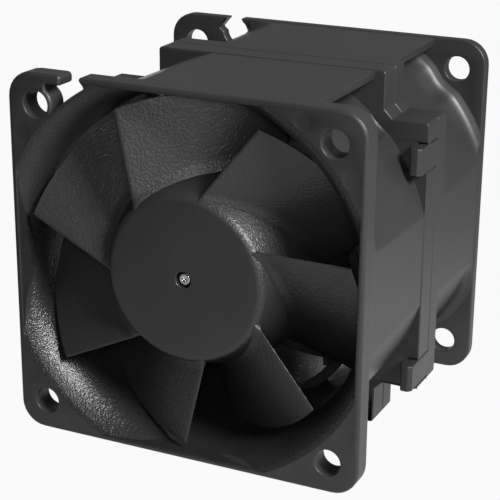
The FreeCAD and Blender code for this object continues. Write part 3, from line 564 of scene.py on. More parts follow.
def flange(fan, notch):
    """Square plate with the notch in its outline and four screw holes. Its bore has the radius
    of the opening on each face, plus the clearance of the mouth's rounding or of the bell."""
    skin = Skin()
    edge = outline([(HALF, -HALF, CORNER), (HALF, HALF, CORNER)] + notch
                   + [(-HALF, HALF, CORNER), (-HALF, -HALF, CORNER)])
    bore = [spin(radius, 0.0)[::-1, [0, 2]]
            for radius in (mouth_radius(fan) + EDGE_ROUND,
                           bell_radius(fan, fan["flange"]) + BORE_CLEAR)]
    near = HOLE_PITCH / 2
    holes = [circle(HOLE_RADIUS, (x, z), 48, clockwise=True)
             for x in (-near, near) for z in (-near, near)]
    marks = []
    if fan is FRONT:
        marks = [((x * u, z * v), MARK_RADIUS) for x in (-1, 1) for z in (-1, 1)
                 for u, v in (MARK_PLACE, MARK_PLACE[::-1])]
        marks = [mark for mark in marks if mark[0] != (-MARK_PLACE[0], MARK_PLACE[1])]
    plate(skin, [edge] + holes, along(fan, 0), along(fan, fan["flange"]), fan["edge"],
          pits=marks, bore=bore, holes=HOLE_ROUND)
    housing_piece(skin, fan, "flange")


flange(FRONT, front_notch)
flange(REAR, rear_notch)

# %% [markdown]
# ## The ducts
# Behind each flange the air runs through a round duct. Its outside is a slight cone that the
# square cuts off flat, and round each screw hole it is scooped out, so that a screw head or a
# driver fits. Inside and outside are one skin: radius as a function of direction and depth.
# The rounding of the mouth turns a full quarter circle where the window cuts it. Elsewhere it
# ends at the slope of the bell, as a quarter circle would leave a dark ring there.

# %% Rows of the duct's inside
MOUTH_TURN = 23.0
CUT_BLEND = 0.6


def duct_inside(fan):
    """From the face to the seam: the rounding of the mouth, the straight wall that the window
    leaves, the bell from the crease between the two, and the throat."""
    mouth = mouth_radius(fan)
    cut = bell(fan, radius_angle(fan, mouth))[0]
    turn = np.radians(MOUTH_TURN + (90.0 - MOUTH_TURN) * np.clip(cut / CUT_BLEND, 0, 1))
    wall_depth = np.maximum(cut, EDGE_ROUND * 1.1)
    wall_radius = bell_radius(fan, wall_depth)
    rows = []
    for share in np.linspace(0, 1, 6):
        radius = mouth + EDGE_ROUND * (1 - np.sin(turn * share))
        depth = EDGE_ROUND * (1 - np.cos(turn * share))
        rows.append(spin(radius, along(fan, depth)))
    for share in (0.1, 0.5, 1.0):
        rows.append(spin(radius + (wall_radius - radius) * share,
                         along(fan, depth + (wall_depth - depth) * share)))
    crease = depth_angle(fan, wall_depth)
    for share in np.linspace(1, 0, 30)[1:]:
        depth, radius = bell(fan, crease * share)
        rows.append(spin(np.minimum(radius, mouth), along(fan, depth)))
    for depth in np.linspace(fan["bell"] + 1, fan["depth"], 8):
        rows.append(spin(np.full(COLUMNS, THROAT), along(fan, depth)))
    return rows


# %% [markdown]
# A scoop ends short of the rim, and a fillet leads from the duct into the flange, but not across
# the notch. Where a scoop meets the cone the two are blended, so that the edge isn't sharp.

# %% Rows of the duct's outside, and the two ducts
NO_SCOOP = 60.0
NOTCH_FROM, NOTCH_TO = 116.0, 139.0


def scoop(radius):
    """Distance from the axis at which a ray meets the screw clearance circle of that radius about
    the nearest hole: t = d - sqrt(radius^2 - offset^2), for a ray that passes at the offset."""
    ray = np.stack([np.cos(ANGLE), np.sin(ANGLE)], 1)
    corner = np.where(ray >= 0, 1, -1) * HOLE_PITCH / 2
    reach = (corner * ray).sum(1)
    offset = corner[:, 0] * ray[:, 1] - corner[:, 1] * ray[:, 0]
    inside = np.maximum(radius * radius - offset * offset, 0.0)
    return np.where(np.abs(offset) < radius, reach - np.sqrt(inside), NO_SCOOP)


def notch_mask():
    """0 where the notch is, 1 elsewhere, with 2 degrees between them."""
    degrees = np.degrees(ANGLE)
    return 1.0 - np.clip((degrees - NOTCH_FROM) / 2, 0, 1) * np.clip((NOTCH_TO - degrees) / 2, 0, 1)


def duct_outside(fan):
    """From the seam to inside the flange. The scoop cuts the cone by the smooth minimum
    -w log(exp(-a / w) + exp(-b / w)), where w is the width of the edge, and the fillet adds
    fillet * (1 - sqrt(1 - t^2)) as t goes from 0 to 1 at the flange."""
    back, end, blend, width = (fan[key] for key in ("flange", "scoop_end", "blend", "scoop_edge"))
    clearance = scoop(fan["scoop"])
    depths = np.concatenate([
        [fan["depth"], end + 0.9], np.linspace(end + 0.6, end - 0.6, 7),
        np.linspace(end - 1.0, back + blend, 5), back + blend * np.linspace(0.9, 0, 12),
        [back - 1.2]])
    rows = []
    for depth in depths:
        share = np.clip((fan["depth"] - depth) / (fan["depth"] - back), 0, 1)
        cone = fan["duct_seam"] + (fan["duct_flange"] - fan["duct_seam"]) * share
        cut = -width * np.logaddexp(-cone / width, -clearance / width)
        radius = cone + (cut - cone) * np.clip(end + 0.5 - depth, 0, 1)
        lift = min(max(0.0, 1 - (depth - back) / blend), 1.0)
        fillet = fan["fillet"] * (1 - math.sqrt(1 - lift ** 2)) * notch_mask()
        rows.append(spin(np.minimum(radius + fillet, FLAT * SQUARE), along(fan, depth)))
    return rows


def duct(fan):
    """One skin that runs from the face inside to the seam and back outside. Its faces that look
    towards the axis get the bell's finish, whose darker colour is painted shade."""
    skin = Skin()
    inside = duct_inside(fan)
    skin.grid(inside + duct_outside(fan) + inside[:1])
    made = housing_piece(skin, fan, "duct", duct_finish)
    made.data.materials.append(bell_painted_shade_finish)
    # painted shade: the faces that look towards the axis get the darker bell colours
    for face in made.data.polygons:
        outwards = face.normal.x * face.center.x + face.normal.z * face.center.z
        face.material_index = int(outwards < 0)


duct(FRONT)
duct(REAR)

# %% [markdown]
# ## Rims, top pads and clips
# Where the two housings meet, each ends in a square rim with its corners cut away. The rear one
# grows four snap clips: an arm lies in a pocket of the front rim, and its nose hooks over that
# rim's far side. The bites out of the corners let a screwdriver pass, and the one at the upper
# left is wider for the leads.
# Two faults are left here. Both flat faces of the front rim lack the wedge at the lower right,
# seen from the front, between the duct's hole and the bottom edge: about 68 square millimetres
# each. Thin strips along its left and right edges are covered twice, and some edges of the front
# rim and of each clip are shared by more than two faces.

# %% Rims with their pockets
CLIP_HEIGHTS = (16.9, -19.5)
CLIP_WIDTH = 4.4
ARM = 1.5
PLAY = 0.15
BITE = 7.5
LEAD_BITE = 12.5
SLANT = 1.4
RIM_ROUND = 0.22


def rim_outline(pockets):
    """A square with a bite out of each corner, and a pocket for each clip arm. A slant fills the
    inner corner of each bite."""
    level = HALF - BITE
    deep = HALF - ARM - PLAY
    wide = CLIP_WIDTH / 2 + PLAY
    right = []
    for height in (CLIP_HEIGHTS[::-1] if pockets else ()):
        right += [(HALF, height - wide, 0.12), (deep, height - wide, 0.15),
                  (deep, height + wide, 0.15), (HALF, height + wide, 0.12)]
    left = [(-x, z, r) for x, z, r in right[::-1]]

    def bite(sx, sz, width=BITE):
        upright = HALF - width
        corner = [(sx * HALF, sz * level, 0.6), (sx * (upright + SLANT), sz * level, 0.3),
                  (sx * upright, sz * (level + SLANT), 0.3), (sx * upright, sz * HALF, 0.6)]
        return corner if sx * sz > 0 else corner[::-1]

    return outline(bite(1, -1) + right + bite(1, 1) + bite(-1, 1, LEAD_BITE) + left + bite(-1, -1))


def rim(fan, pockets):
    """Plate from the rim's height down to the gap at the seam, with a hole for the duct."""
    skin = Skin()
    hole = circle(THROAT + 0.6, count=360, clockwise=True)
    plate(skin, [rim_outline(pockets), hole], above(fan, fan["rim"]), above(fan, SEAM_GAP),
          RIM_ROUND)
    housing_piece(skin, fan, "rim")


rim(FRONT, True)
rim(REAR, False)

# %% [markdown]
# On top of each duct a thin pad widens the flat to the right, where it ends in a small step.

# %% Top pads
PAD_END = 20.7
PAD_LOW = 28.4


def top_pad(fan):
    """Rectangle in x and z, carried along y from inside the flange to inside the rim."""
    skin = Skin()
    top = FLAT + PROUD
    loop = outline([(0.0, PAD_LOW, 0), (PAD_END, PAD_LOW, 0.3), (PAD_END, top, 0.35),
                    (0.0, top, 0)])
    plate(skin, [loop], along(fan, fan["flange"] - 1.4), above(fan, 1.0), 0.02, steps=1)
    housing_piece(skin, fan, "top_pad")


top_pad(FRONT)
top_pad(REAR)

# %% [markdown]
# A clip's shape shows when it is seen from above, so its outline is drawn in x and y and carried
# upwards. The tip of the nose is slanted, so that it rides up over the rim when the two housings
# are pushed together.

# %% Snap clips of the rear housing
HOOK = 0.9
NOSE_LONG = 3.1
CLIP_ROUND = 0.18


def clip(side, height, number):
    """Root in the rear rim, arm in the pocket, and a nose whose inner face lies on the front
    rim's far side."""
    root = SEAM + 0.6
    face = above(FRONT, FRONT["rim"]) - PLAY
    tip = face - NOSE_LONG
    inside = HALF - ARM - HOOK
    profile = [(HALF, root, 0.1), (HALF, face - 2.5, 0.0), (HALF - 0.6, tip, 0.35),
               (HALF - 1.8, tip, 0.4), (inside, face - 1.5, 0.4),
               (inside, face, 0.15), (HALF - ARM, face, 0.0), (HALF - ARM, root, 0.1)]
    profile = [(side * (x + PROUD), y, r) for x, y, r in profile]
    if side > 0:
        profile = profile[::-1]
    skin = Skin()
    plate(skin, [outline(profile)], height - CLIP_WIDTH / 2, height + CLIP_WIDTH / 2, CLIP_ROUND,
          place=across_z)
    made = skin.piece(f"clip_{number}", "frame", "housing_plastic", ["rear_housing"])
    made.data.materials.append(housing_finish)


clips = [(side, height) for side in (1, -1) for height in CLIP_HEIGHTS]
for number, (side, height) in enumerate(clips, 1):
    clip(side, height, number)

# %% [markdown]
# ## Motor bases and struts
# Each motor sits on a round base in the middle of its housing. Swept struts carry it, so that the
# blades never pass a whole strut at once, which would make the fan sing. In one of the five
# places a straight channel for the leads stands instead. All of them are plates on the seam.

# %% Outline of a swept strut
BASE_RADIUS = 16.4
STRUT_HALF = 0.85


def strut_outline(start, hand):
    """Both sides of an arc through three points: the base, a point 54 degrees further at 23.4,
    and the duct wall 84 degrees further. The arc's centre is where two bisectors cross."""
    middle = []
    for radius, turn in ((BASE_RADIUS - 1, 0.0), (23.4, 54.0), (THROAT + 0.4, 84.0)):
        angle = math.radians(start + turn)
        middle.append((hand * radius * math.cos(angle), radius * math.sin(angle)))
    a, b, c = (np.array(p) for p in middle)
    centre = np.linalg.solve(2 * np.array([b - a, c - a]), [b @ b - a @ a, c @ c - a @ a])
    radius = np.linalg.norm(a - centre)
    first = math.atan2(*(a - centre)[::-1])
    last = math.atan2(*(c - centre)[::-1])
    last = first + (last - first + math.pi) % (2 * math.pi) - math.pi
    sweep = np.linspace(first, last, 25)
    ray = np.stack([np.cos(sweep), np.sin(sweep)], 1)
    loop = np.vstack([centre + ray * (radius + STRUT_HALF),
                      (centre + ray * (radius - STRUT_HALF))[::-1]])
    after = np.roll(loop, -1, 0)
    area = (loop[:, 0] * after[:, 1] - loop[:, 1] * after[:, 0]).sum()
    return loop if area > 0 else loop[::-1]


# %% [markdown]
# The channel is two walls side by side. In the rear housing it runs from the base to the upper
# left, and the front housing is the mirror image.

# %% Base, swept struts and the channel for the leads
BASE_BORE = 5.05
STRUT_HIGH = 3.2
STRUT_GAP = 0.03
CHANNEL = math.radians(135.0)
CHANNEL_HALF = 1.9
CHANNEL_WALL = 0.6
CHANNEL_ENDS = (15.4, 29.0)


def motor_base(fan):
    """Base with its bore, four swept struts in steps of 72 degrees, and the channel's two walls,
    each a rectangle along the ray at the channel's angle. In the front housing x is mirrored."""
    skin = Skin()
    hand = fan["side"]
    low, high = above(fan, STRUT_GAP), above(fan, STRUT_HIGH)
    plate(skin, [circle(BASE_RADIUS, count=120), circle(BASE_BORE, count=48, clockwise=True)],
          above(fan, 2.0), above(fan, SEAM_GAP), 0.2)
    for index in (0, 1, 2, 4):
        plate(skin, [strut_outline(240.0 + 72.0 * index, hand)], high, low, 0.35)
    ray = np.array([math.cos(CHANNEL), math.sin(CHANNEL)])
    beside = np.array([-ray[1], ray[0]])
    near, far = (ray * end for end in CHANNEL_ENDS)
    for offset in (CHANNEL_HALF, -CHANNEL_HALF):
        right, left = (beside * (offset + wall) for wall in (-CHANNEL_WALL, CHANNEL_WALL))
        loop = np.array([near + right, far + right, far + left, near + left])
        if hand < 0:
            loop = (loop * (-1, 1))[::-1]
        plate(skin, [loop], high, low, 0.15)
    housing_piece(skin, fan, "struts")


motor_base(FRONT)
motor_base(REAR)

# %% [markdown]
# ## The impellers
# The hub is a cup that is drawn in to a small flat face, so that the air meets a cone and not a
# wall. Each blade is a thin curved wing. Its section is worked out on a cylinder about the axis:
# the mean line starts steep against the axis and bends towards it, and the leading edge is
# rounded and the trailing edge fine. Root and tip have their own angles and chord, and what lies
# between them is blended.

# %% Laws of the blades and the hub's cone
BLADES = {
    "front": {"angle": (147.5, 167.7), "start": (28.9, 28.7), "chord": (16.0, 14.0),
              "inlet": (63.0, 65.0), "outlet": (30.0, 52.0), "thick": (1.5, 0.9), "flow": -1},
    "rear": {"angle": (20.0, 0.0), "start": (5.2, 6.2), "chord": (15.5, 13.5),
             "inlet": (58.0, 66.0), "outlet": (34.0, 52.0), "thick": (1.6, 1.0), "flow": 1},
}
INNER = 11.8
OUTER = 29.0
TIP = 28.0
HUB_RADIUS = 17.0
HUB_FACE = 13.3
HUB_SINK = 1.0


def hub_radius(fan, height):
    """Radius of the hub at a height above the seam: the cylinder, then the cone."""
    shoulder = fan["depth"] - HUB_SINK - fan["cone"]
    share = np.clip((height - shoulder) / fan["cone"], 0, 1)
    return HUB_RADIUS + (HUB_FACE - HUB_RADIUS) * share


def straight_edge(law, reach):
    """Angle at which the straight leading edge has each radius. The line's foot is nearest to
    the axis, and at the radius r it has turned by acos(foot / r) from there."""
    ends = []
    for radius, degrees in zip((INNER, OUTER), law["angle"]):
        angle = math.radians(degrees)
        ends.append(radius * np.array([math.cos(angle), math.sin(angle)]))
    course = (ends[1] - ends[0]) / np.linalg.norm(ends[1] - ends[0])
    foot = ends[0] - course * (ends[0] @ course)
    side = math.copysign(1, law["angle"][1] - law["angle"][0])
    return math.atan2(foot[1], foot[0]) + side * np.arccos(np.linalg.norm(foot) / reach)


for name, law in BLADES.items():
    print(name, "blades: chord", law["chord"], "mm, inlet", law["inlet"], "degrees, root and tip")

# %% [markdown]
# Nose and tail are round, each over its own share of the chord, and the nose gets four columns
# more so that its highlight is a clean line. At the hub a foot thickens the blade, as a mould's
# fillet does.

# %% Surface of one blade
EDGE = 0.42
NOSE_ROUND = 0.02
TAIL_ROUND = 0.015
NOSE_COLUMNS = (0.0008, 0.0025, 0.010, 0.015)
FOOT_REACH = 0.9
FOOT_HALF = 0.45


def rounded(t, width):
    """sqrt(1 - (1 - t / width)^2): a quarter ellipse from 0 to 1, held at 0.2 or more."""
    return np.sqrt(np.clip(1 - (1 - np.clip(t / width, 0, 1)) ** 2, 0.04, 1))


def blade(fan, turn, rows=26, columns=22):
    """Grid of one blade. Row: the share s from root to tip. Column: once round the section.
    On the mean line at the share t of the chord c, the arc is c * (a t + (b - a) t^2 / 2) for
    the tangents a and b of the two edge angles, and half the thickness is
    (edge + (full - edge) * 4 t (1 - t)) / 2, set off at a right angle to the mean line."""
    law = BLADES[fan["name"]]
    reach = np.linspace(INNER, TIP, rows)[:, None]
    share = (reach - INNER) / (OUTER - INNER)

    def at(key):
        return law[key][0] + (law[key][1] - law[key][0]) * share

    spread = (1 - np.cos(np.linspace(0, np.pi, columns))) / 2
    spread = np.sort(np.concatenate([spread, NOSE_COLUMNS]))
    t = np.concatenate([spread, spread[::-1]])[None, :]
    side = np.repeat([1.0, -1.0], len(spread))[None, :]
    a = np.tan(np.radians(at("inlet")))
    b = np.tan(np.radians(at("outlet")))
    chord = at("chord")
    slope = a + (b - a) * t
    tilt = np.sqrt(1 + slope * slope)
    half = (EDGE + (at("thick") - EDGE) * 4 * t * (1 - t)) / 2
    half = half * rounded(t, NOSE_ROUND) * rounded(1 - t, TAIL_ROUND)
    height = at("start") + law["flow"] * t * chord
    foot = np.clip(1 - (reach - hub_radius(fan, height)) / FOOT_REACH, 0, 1) ** 2 * FOOT_HALF
    half = half + foot
    around = chord * (a * t + (b - a) * t * t / 2) + side * half / tilt
    axial = t * chord - side * half * slope / tilt
    angle = straight_edge(law, reach) + math.radians(turn) + around / reach
    x = reach * np.cos(angle)
    z = reach * np.sin(angle)
    return np.stack([x * fan["side"], above(fan, at("start") + law["flow"] * axial), z], 2)


# %% [markdown]
# The hub's profile is turned about the axis, as on a lathe: through the bore and over the face,
# down the cone and the skirt, and back along the seat of the steel yoke, the inside of the cup
# and the boss. The moulding's face is smoother than its blades and gets its own finish.

# %% Hub, blades and the two impellers
SKIRT = 3.2
YOKE_TOP = 18.01
YOKE_RADIUS = 15.5
CUP_RADIUS = 14.0
BOSS_RADIUS = 3.4
BORE = 1.3
SHAFT_SEAT = 1.6
HUB_WALL = 1.8


def lathe(fan, profile, count):
    """Rows of (r cos a, h, r sin a) for each radius r and height h of the profile."""
    turn = np.linspace(0, 2 * np.pi, count, endpoint=False)
    return [np.stack([r * np.cos(turn), np.full(count, above(fan, h)), r * np.sin(turn)], 1)
            for r, h in profile]


def hub_profile(fan):
    """Corners of the cup in radius and height above the seam."""
    face = fan["depth"] - HUB_SINK
    shoulder = face - fan["cone"]
    floor = face - HUB_WALL
    return outline([
        (SHAFT_SEAT, 18.6, 0), (BORE, 18.6, 0), (BORE, face, 0.12), (HUB_FACE, face, 1.5),
        (HUB_RADIUS, shoulder, 6.0), (HUB_RADIUS, SKIRT, 0.3), (YOKE_RADIUS, SKIRT, 0.1),
        (YOKE_RADIUS, YOKE_TOP, 0), (CUP_RADIUS, YOKE_TOP, 0), (CUP_RADIUS, shoulder - 0.4, 0),
        (12.2, floor, 0.5), (BOSS_RADIUS, floor, 0.3), (BOSS_RADIUS, YOKE_TOP, 0),
        (SHAFT_SEAT, YOKE_TOP, 0)], step=6.0)


def impeller(fan):
    """The turned hub, and its blades in steps of 360 degrees over their number. Quads between a
    blade's two sides close its root, which lies in the hub's wall, and its tip."""
    skin = Skin()
    rows = lathe(fan, hub_profile(fan), 180)
    skin.grid(rows + rows[:1])
    for index in range(fan["blades"]):
        surface = blade(fan, index * 360.0 / fan["blades"])
        skin.grid(surface)
        half = surface.shape[1] // 2
        for row in (surface[0], surface[-1]):
            skin.grid([row[:half], row[half:][::-1]], around=False)
    made = skin.piece(f"{fan['name']}_impeller_smooth", f"{fan['name']}_rotor",
                      "impeller_plastic", [f"{fan['name']}_impeller"], crease=40.0)
    made.data.materials.append(impeller_finish)
    made.data.materials.append(hub_finish)
    for face in made.data.polygons:
        inside = math.hypot(face.center.x, face.center.z) < (HUB_FACE + 0.1) * MM
        face.material_index = int(inside and abs(face.normal.y) > 0.9)


impeller(FRONT)
impeller(REAR)

# %% [markdown]
# ## The motor pieces inside
# Steel, magnet, copper and circuit board hardly show, but they are there when a rotor is taken
# out. They keep their construction meshes. Turned metal gets fine marks that run round the axis:
# their noise depends on the radius and on Y alone, so it doesn't change on the way round.

# %% Metals
TURNING_MARKS = 9000.0


def round_metal(name, dark, light, roughness):
    """Metal with turning marks, and a slow noise for handling and heat."""
    finish = Finish(name)
    x, y, z = finish.axes()
    radius = (x * x + z * z).math("SQRT")
    where = finish.node("ShaderNodeCombineXYZ", None, {0: radius, 1: y, 2: 0.0})
    marks = finish.noise(TURNING_MARKS, 2.0, 0.6, where)
    cloud = finish.noise(180.0, 3.0)
    share = marks.between(0.3, 0.7) * 0.5 + cloud * 0.5
    finish.set(Base_Color=finish.tint(share, dark, light), Metallic=1.0)
    finish.set(Roughness=roughness + (marks - 0.5) * 0.12 + (cloud - 0.5) * 0.1)
    finish.set(Normal=finish.relief(marks, 0.12, 0.00001))
    return finish.material


yoke_finish = round_metal("yoke_steel_finish", (0.30, 0.30, 0.31), (0.48, 0.48, 0.49), 0.38)
shaft_finish = round_metal("shaft_steel_finish", (0.55, 0.55, 0.56), (0.74, 0.74, 0.75), 0.18)
spring_finish = round_metal("spring_steel_finish", (0.36, 0.36, 0.37), (0.52, 0.52, 0.53), 0.30)
bearing_finish = round_metal("bearing_steel_finish", (0.62, 0.62, 0.63), (0.80, 0.80, 0.81), 0.14)
brass_finish = round_metal("sleeve_brass_finish", (0.58, 0.43, 0.18), (0.78, 0.60, 0.28), 0.26)

# %% [markdown]
# The core is a stack of sheets and a coil a row of turns, so a wave along the axis does for both.
# Magnet, insulator and chips are moulded like the housings. The board has a lacquer over its
# glass weave, which is the product of two waves at a right angle.

# %% Core, coils, magnet, insulator, chips and board
def layered(name, dark, light, pitch, roughness, metallic=0.0):
    """Sheets or turns stacked along the axis: a wave over Y with a little wander."""
    finish = Finish(name)
    wander = finish.noise(700.0, 2.0)
    wave = finish.waves("Y", pitch, 0.6, 1.0)
    share = wave * 0.6 + wander * 0.4
    finish.set(Base_Color=finish.tint(share, dark, light), Metallic=metallic)
    finish.set(Roughness=roughness + (wander - 0.5) * 0.15)
    finish.set(Normal=finish.relief(wave, 0.4, 0.00003))
    return finish.material


def board_lacquer():
    """Green lacquer over a glass weave, under a thin coat."""
    finish = Finish("board_laminate_finish")
    share = finish.waves("X", 900.0, 0.3, 2.0) * finish.waves("Z", 900.0, 0.3, 2.0)
    green = finish.tint(share, (0.012, 0.085, 0.035), (0.03, 0.15, 0.06))
    finish.set(Base_Color=green, Coat_Weight=0.5)
    finish.set(Roughness=0.35 + (share - 0.5) * 0.1, Normal=finish.relief(share, 0.2, 0.00002))
    return finish.material


core_finish = layered(
    "core_steel_finish", (0.14, 0.14, 0.15), (0.36, 0.36, 0.37), 900.0, 0.45, metallic=1.0)
winding_finish = layered(
    "winding_enamel_finish", (0.28, 0.09, 0.03), (0.62, 0.27, 0.10), 1300.0, 0.28)
magnet_finish = moulded_plastic(
    "magnet_ferrite_finish", (0.035, 0.034, 0.033), (0.065, 0.062, 0.060), 0.3, 0.55)
insulator_finish = moulded_plastic(
    "insulator_plastic_finish", (0.12, 0.16, 0.13), (0.18, 0.23, 0.19), 0.2, 0.42)
chip_finish = moulded_plastic(
    "chip_plastic_finish", (0.014, 0.014, 0.015), (0.026, 0.026, 0.028), 0.25, 0.40)
board_finish = board_lacquer()

# %% [markdown]
# A node's name is the fan's name and the kind of piece, and the kind decides the finish. Nodes
# that a smooth piece stands for get theirs as well.

# %% Give each construction node its finish
NODE_FINISHES = {
    "rotor_yoke": yoke_finish, "magnet_ring": magnet_finish, "shaft": shaft_finish,
    "retaining_ring": spring_finish, "preload_washer": spring_finish,
    "bearing_outer_rings": bearing_finish, "bearing_inner_rings": bearing_finish,
    "bearing_balls": bearing_finish, "bearing_sleeve": brass_finish, "stator_core": core_finish,
    "stator_insulator": insulator_finish, "windings": winding_finish,
    "circuit_board": board_finish, "board_parts": chip_finish, "housing": housing_finish,
    "impeller": impeller_finish,
}
for name, node in nodes.items():
    kind = name.split("_", 1)[1]
    node.data.materials.clear()
    node.data.materials.append(NODE_FINISHES[kind])
print("finished nodes:", len(nodes))

# %% [markdown]
# ## The shafts
# A shaft is ground steel with a thinner neck, which ends in the hub's face. The ball end of the
# centre drill leaves the mark in it, and the groove near the tail holds the retaining ring.

# %% Shafts, with the turned end that shows in the hub's face
SHAFT_RADIUS = 1.5
NECK_RADIUS = 0.98
GROOVE_RADIUS = 1.2


def shaft(fan):
    """The shaft's profile in radius and height, from the tail to the end, turned about the
    axis."""
    end = fan["depth"] - 1.5
    neck = end - 3.0
    profile = outline([
        (0.0, 1.0, 0), (SHAFT_RADIUS, 1.0, 0.12), (SHAFT_RADIUS, 1.4, 0), (GROOVE_RADIUS, 1.4, 0),
        (GROOVE_RADIUS, 1.8, 0), (SHAFT_RADIUS, 1.8, 0), (SHAFT_RADIUS, neck, 0.1),
        (NECK_RADIUS, neck, 0.05), (NECK_RADIUS, end, 0.2),
        (0.45, end, 0.06), (0.3, end - 0.22, 0.1), (0.0, end - 0.3, 0)])
    skin = Skin()
    skin.grid(lathe(fan, profile, 64))
    made = skin.piece(f"{fan['name']}_shaft_smooth", f"{fan['name']}_rotor", "shaft_steel",
                      [f"{fan['name']}_shaft"], crease=50.0)
    made.data.materials.append(shaft_finish)


shaft(FRONT)
shaft(REAR)

# %% [markdown]
# ## The floor
# The fan stands on a plain pale floor that the camera sees as almost pure white. A white floor
# would also show in every glossy face, and flatten the black plastic. So what a glossy ray
# finds is painted light that depends on the place: a painted pool of light, white to the right
# and behind the fan, where the duct's side mirrors it, dimmed far behind on the right, and dark
# with painted shade at the front left. Other rays meet a grey diffuse floor.

# %% White floor
def white_floor():
    """Emission for camera rays, and for glossy rays by the share lit, which is painted light and
    shade; diffuse for the rest. lit = max(before, behind) * (1 - dim) * 0.9, each of them a
    smooth step over the place."""
    finish = Finish("floor_finish")
    finish.set(Base_Color=(0.1, 0.1, 0.1), Roughness=0.9, Specular_IOR_Level=0.1)
    x, y = finish.axes()[:2]
    # painted light: for glossy rays the floor glows where lamp light would pool on it, and stays
    # dark where the fan's shade would fall
    before = (x * 0.9 + y * 0.5).between(-0.16, 0.05)
    behind = y.between(-0.03, 0.0)
    dim = y.between(0.03, 0.14) * x.between(0.0, 0.05) * 0.8
    lit = before.math("MAXIMUM", behind) * (1.0 - dim) * 0.9
    rays = finish.tree.nodes.new("ShaderNodeLightPath")
    seen = Wire(finish, rays.outputs["Is Camera Ray"])
    for other, share in (("Is Glossy Ray", lit), ("Is Transmission Ray", 1.0)):
        seen = seen.math("MAXIMUM", Wire(finish, rays.outputs[other]) * share)
    white = finish.node("ShaderNodeEmission", None, {"Color": (1.0, 1.0, 1.0), "Strength": 1.0})
    plain = Wire(finish, finish.shader.outputs[0])
    mix = finish.node("ShaderNodeMixShader", None, {0: seen * 0.95, 1: plain, 2: white})
    end = finish.tree.nodes["Material Output"]
    finish.tree.links.new(mix.socket, end.inputs["Surface"])
    return finish.material


FLOOR_HALF = 3.0
level = -HALF * MM - 0.0001
sides = ((-FLOOR_HALF, -FLOOR_HALF), (FLOOR_HALF, -FLOOR_HALF),
         (FLOOR_HALF, FLOOR_HALF), (-FLOOR_HALF, FLOOR_HALF))
floor_mesh = bpy.data.meshes.new("floor")
floor_mesh.from_pydata([(x, y, level) for x, y in sides], [], [(0, 1, 2, 3)])
floor = bpy.data.objects.new("floor", floor_mesh)
bpy.context.scene.collection.objects.link(floor)
floor.data.materials.append(white_floor())
print("floor at z =", round(level * 1000, 2), "mm")

# %% [markdown]
# ## The room
# The world stands for the walls of a grey studio, brighter behind the fan than in front of it.
# Camera rays see pure white instead, which makes the background.

# %% World
ROOM_COLOUR = (0.75, 0.76, 0.78)
world = bpy.data.worlds.new("studio")
bpy.context.scene.world = world
world.use_nodes = True
tree = world.node_tree
tree.nodes.clear()


def glow(colour, strength):
    """Output of a background of that colour and strength."""
    made = tree.nodes.new("ShaderNodeBackground")
    made.inputs["Color"].default_value = (*colour, 1.0)
    made.inputs["Strength"].default_value = strength
    return made.outputs[0]


def mixed(share, first, second):
    """Output of a mix of two shaders."""
    made = tree.nodes.new("ShaderNodeMixShader")
    for socket, source in zip(made.inputs, (share, first, second)):
        tree.links.new(source, socket)
    return made.outputs[0]


heading = tree.nodes.new("ShaderNodeTexCoord").outputs["Generated"]
split = tree.nodes.new("ShaderNodeSeparateXYZ")
tree.links.new(heading, split.inputs[0])
backwards = tree.nodes.new("ShaderNodeMapRange")
tree.links.new(split.outputs["Y"], backwards.inputs["Value"])
backwards.inputs["From Min"].default_value = 0.2
backwards.inputs["From Max"].default_value = 0.8
room = mixed(backwards.outputs[0], glow(ROOM_COLOUR, 0.12), glow(ROOM_COLOUR, 0.29))
camera_ray = tree.nodes.new("ShaderNodeLightPath").outputs["Is Camera Ray"]
end = tree.nodes.new("ShaderNodeOutputWorld")
tree.links.new(mixed(camera_ray, room, glow((1.0, 1.0, 1.0), 1.0)), end.inputs["Surface"])
print("world:", len(tree.nodes), "nodes")

# %% [markdown]
# ## The lamps
# The key light is a soft lamp at the upper right: the bell mouth's lower left wall mirrors it,
# which lights up the grain there. A weak lamp low in front does the same for the top blade. A
# small one right behind the camera reaches into the duct as far as the camera sees, and a faint
# one at the back left shows the outlet's blades and struts.

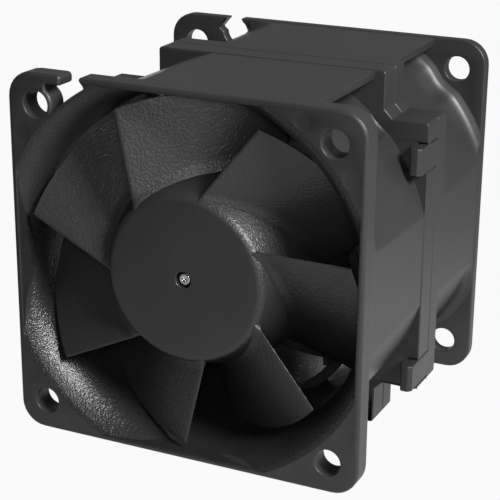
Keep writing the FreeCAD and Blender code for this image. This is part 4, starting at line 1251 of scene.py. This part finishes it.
# %% Lamps
def lamp(name, place, size, power):
    """Soft rectangular lamp at place, in millimetres, that faces the middle of the fan."""
    data = bpy.data.lights.new(name, "AREA")
    data.shape = "RECTANGLE"
    data.size, data.size_y = (s * MM for s in size)
    data.energy = power
    made = bpy.data.objects.new(name, data)
    bpy.context.scene.collection.objects.link(made)
    made.location = Vector(place) * MM
    made.rotation_euler = (-made.location).to_track_quat("-Z", "Y").to_euler()
    print(name, "lamp:", round(made.location.length * 1000), "mm away,", power, "W")


lamp("key", (446, -165, 366), (170, 170), 5.8)
lamp("front", (350, -574, 60), (120, 120), 0.18)
lamp("lens", (106, -231, 93), (30, 30), 0.15)
lamp("back", (-420, 560, -10), (160, 30), 0.1)

# %% [markdown]
# ## The camera
# The camera stands to the front right and a little above. Its place was fitted to corners and
# holes whose place in the picture and on the fan are both known. The focal length is given in
# pixels of the square picture, and the lens follows from it and the sensor's width.

# %% Camera
PICTURE = 500.0
SENSOR = 36.0


def camera(azimuth, elevation, roll, distance, target, focal_px):
    """Camera on a sphere about the target. Its backward axis is
    (sin a cos e, -cos a cos e, sin e), and the roll turns it about that axis."""
    a, e, r = (math.radians(v) for v in (azimuth, elevation, roll))
    back = Vector((math.sin(a) * math.cos(e), -math.cos(a) * math.cos(e), math.sin(e)))
    level = Vector((math.cos(a), math.sin(a), 0.0))
    up = back.cross(level)
    right = level * math.cos(r) + up * math.sin(r)
    top = up * math.cos(r) - level * math.sin(r)
    data = bpy.data.cameras.new("camera")
    data.sensor_width = SENSOR
    data.lens = focal_px / PICTURE * SENSOR
    data.clip_start = 0.01
    data.clip_end = 20.0
    made = bpy.data.objects.new("camera", data)
    bpy.context.scene.collection.objects.link(made)
    turn = Matrix((right, top, back)).transposed().to_4x4()
    made.matrix_world = Matrix.Translation((Vector(target) + back * distance) * MM) @ turn
    bpy.context.scene.camera = made
    print("camera:", round(data.lens, 1), "mm lens,", distance, "mm from its target")


camera(25.55, 19.50, 0.43, 258.02, (-1.54, 0.0, -3.84), 1521.66)
bpy.context.scene.view_settings.view_transform = "Standard"
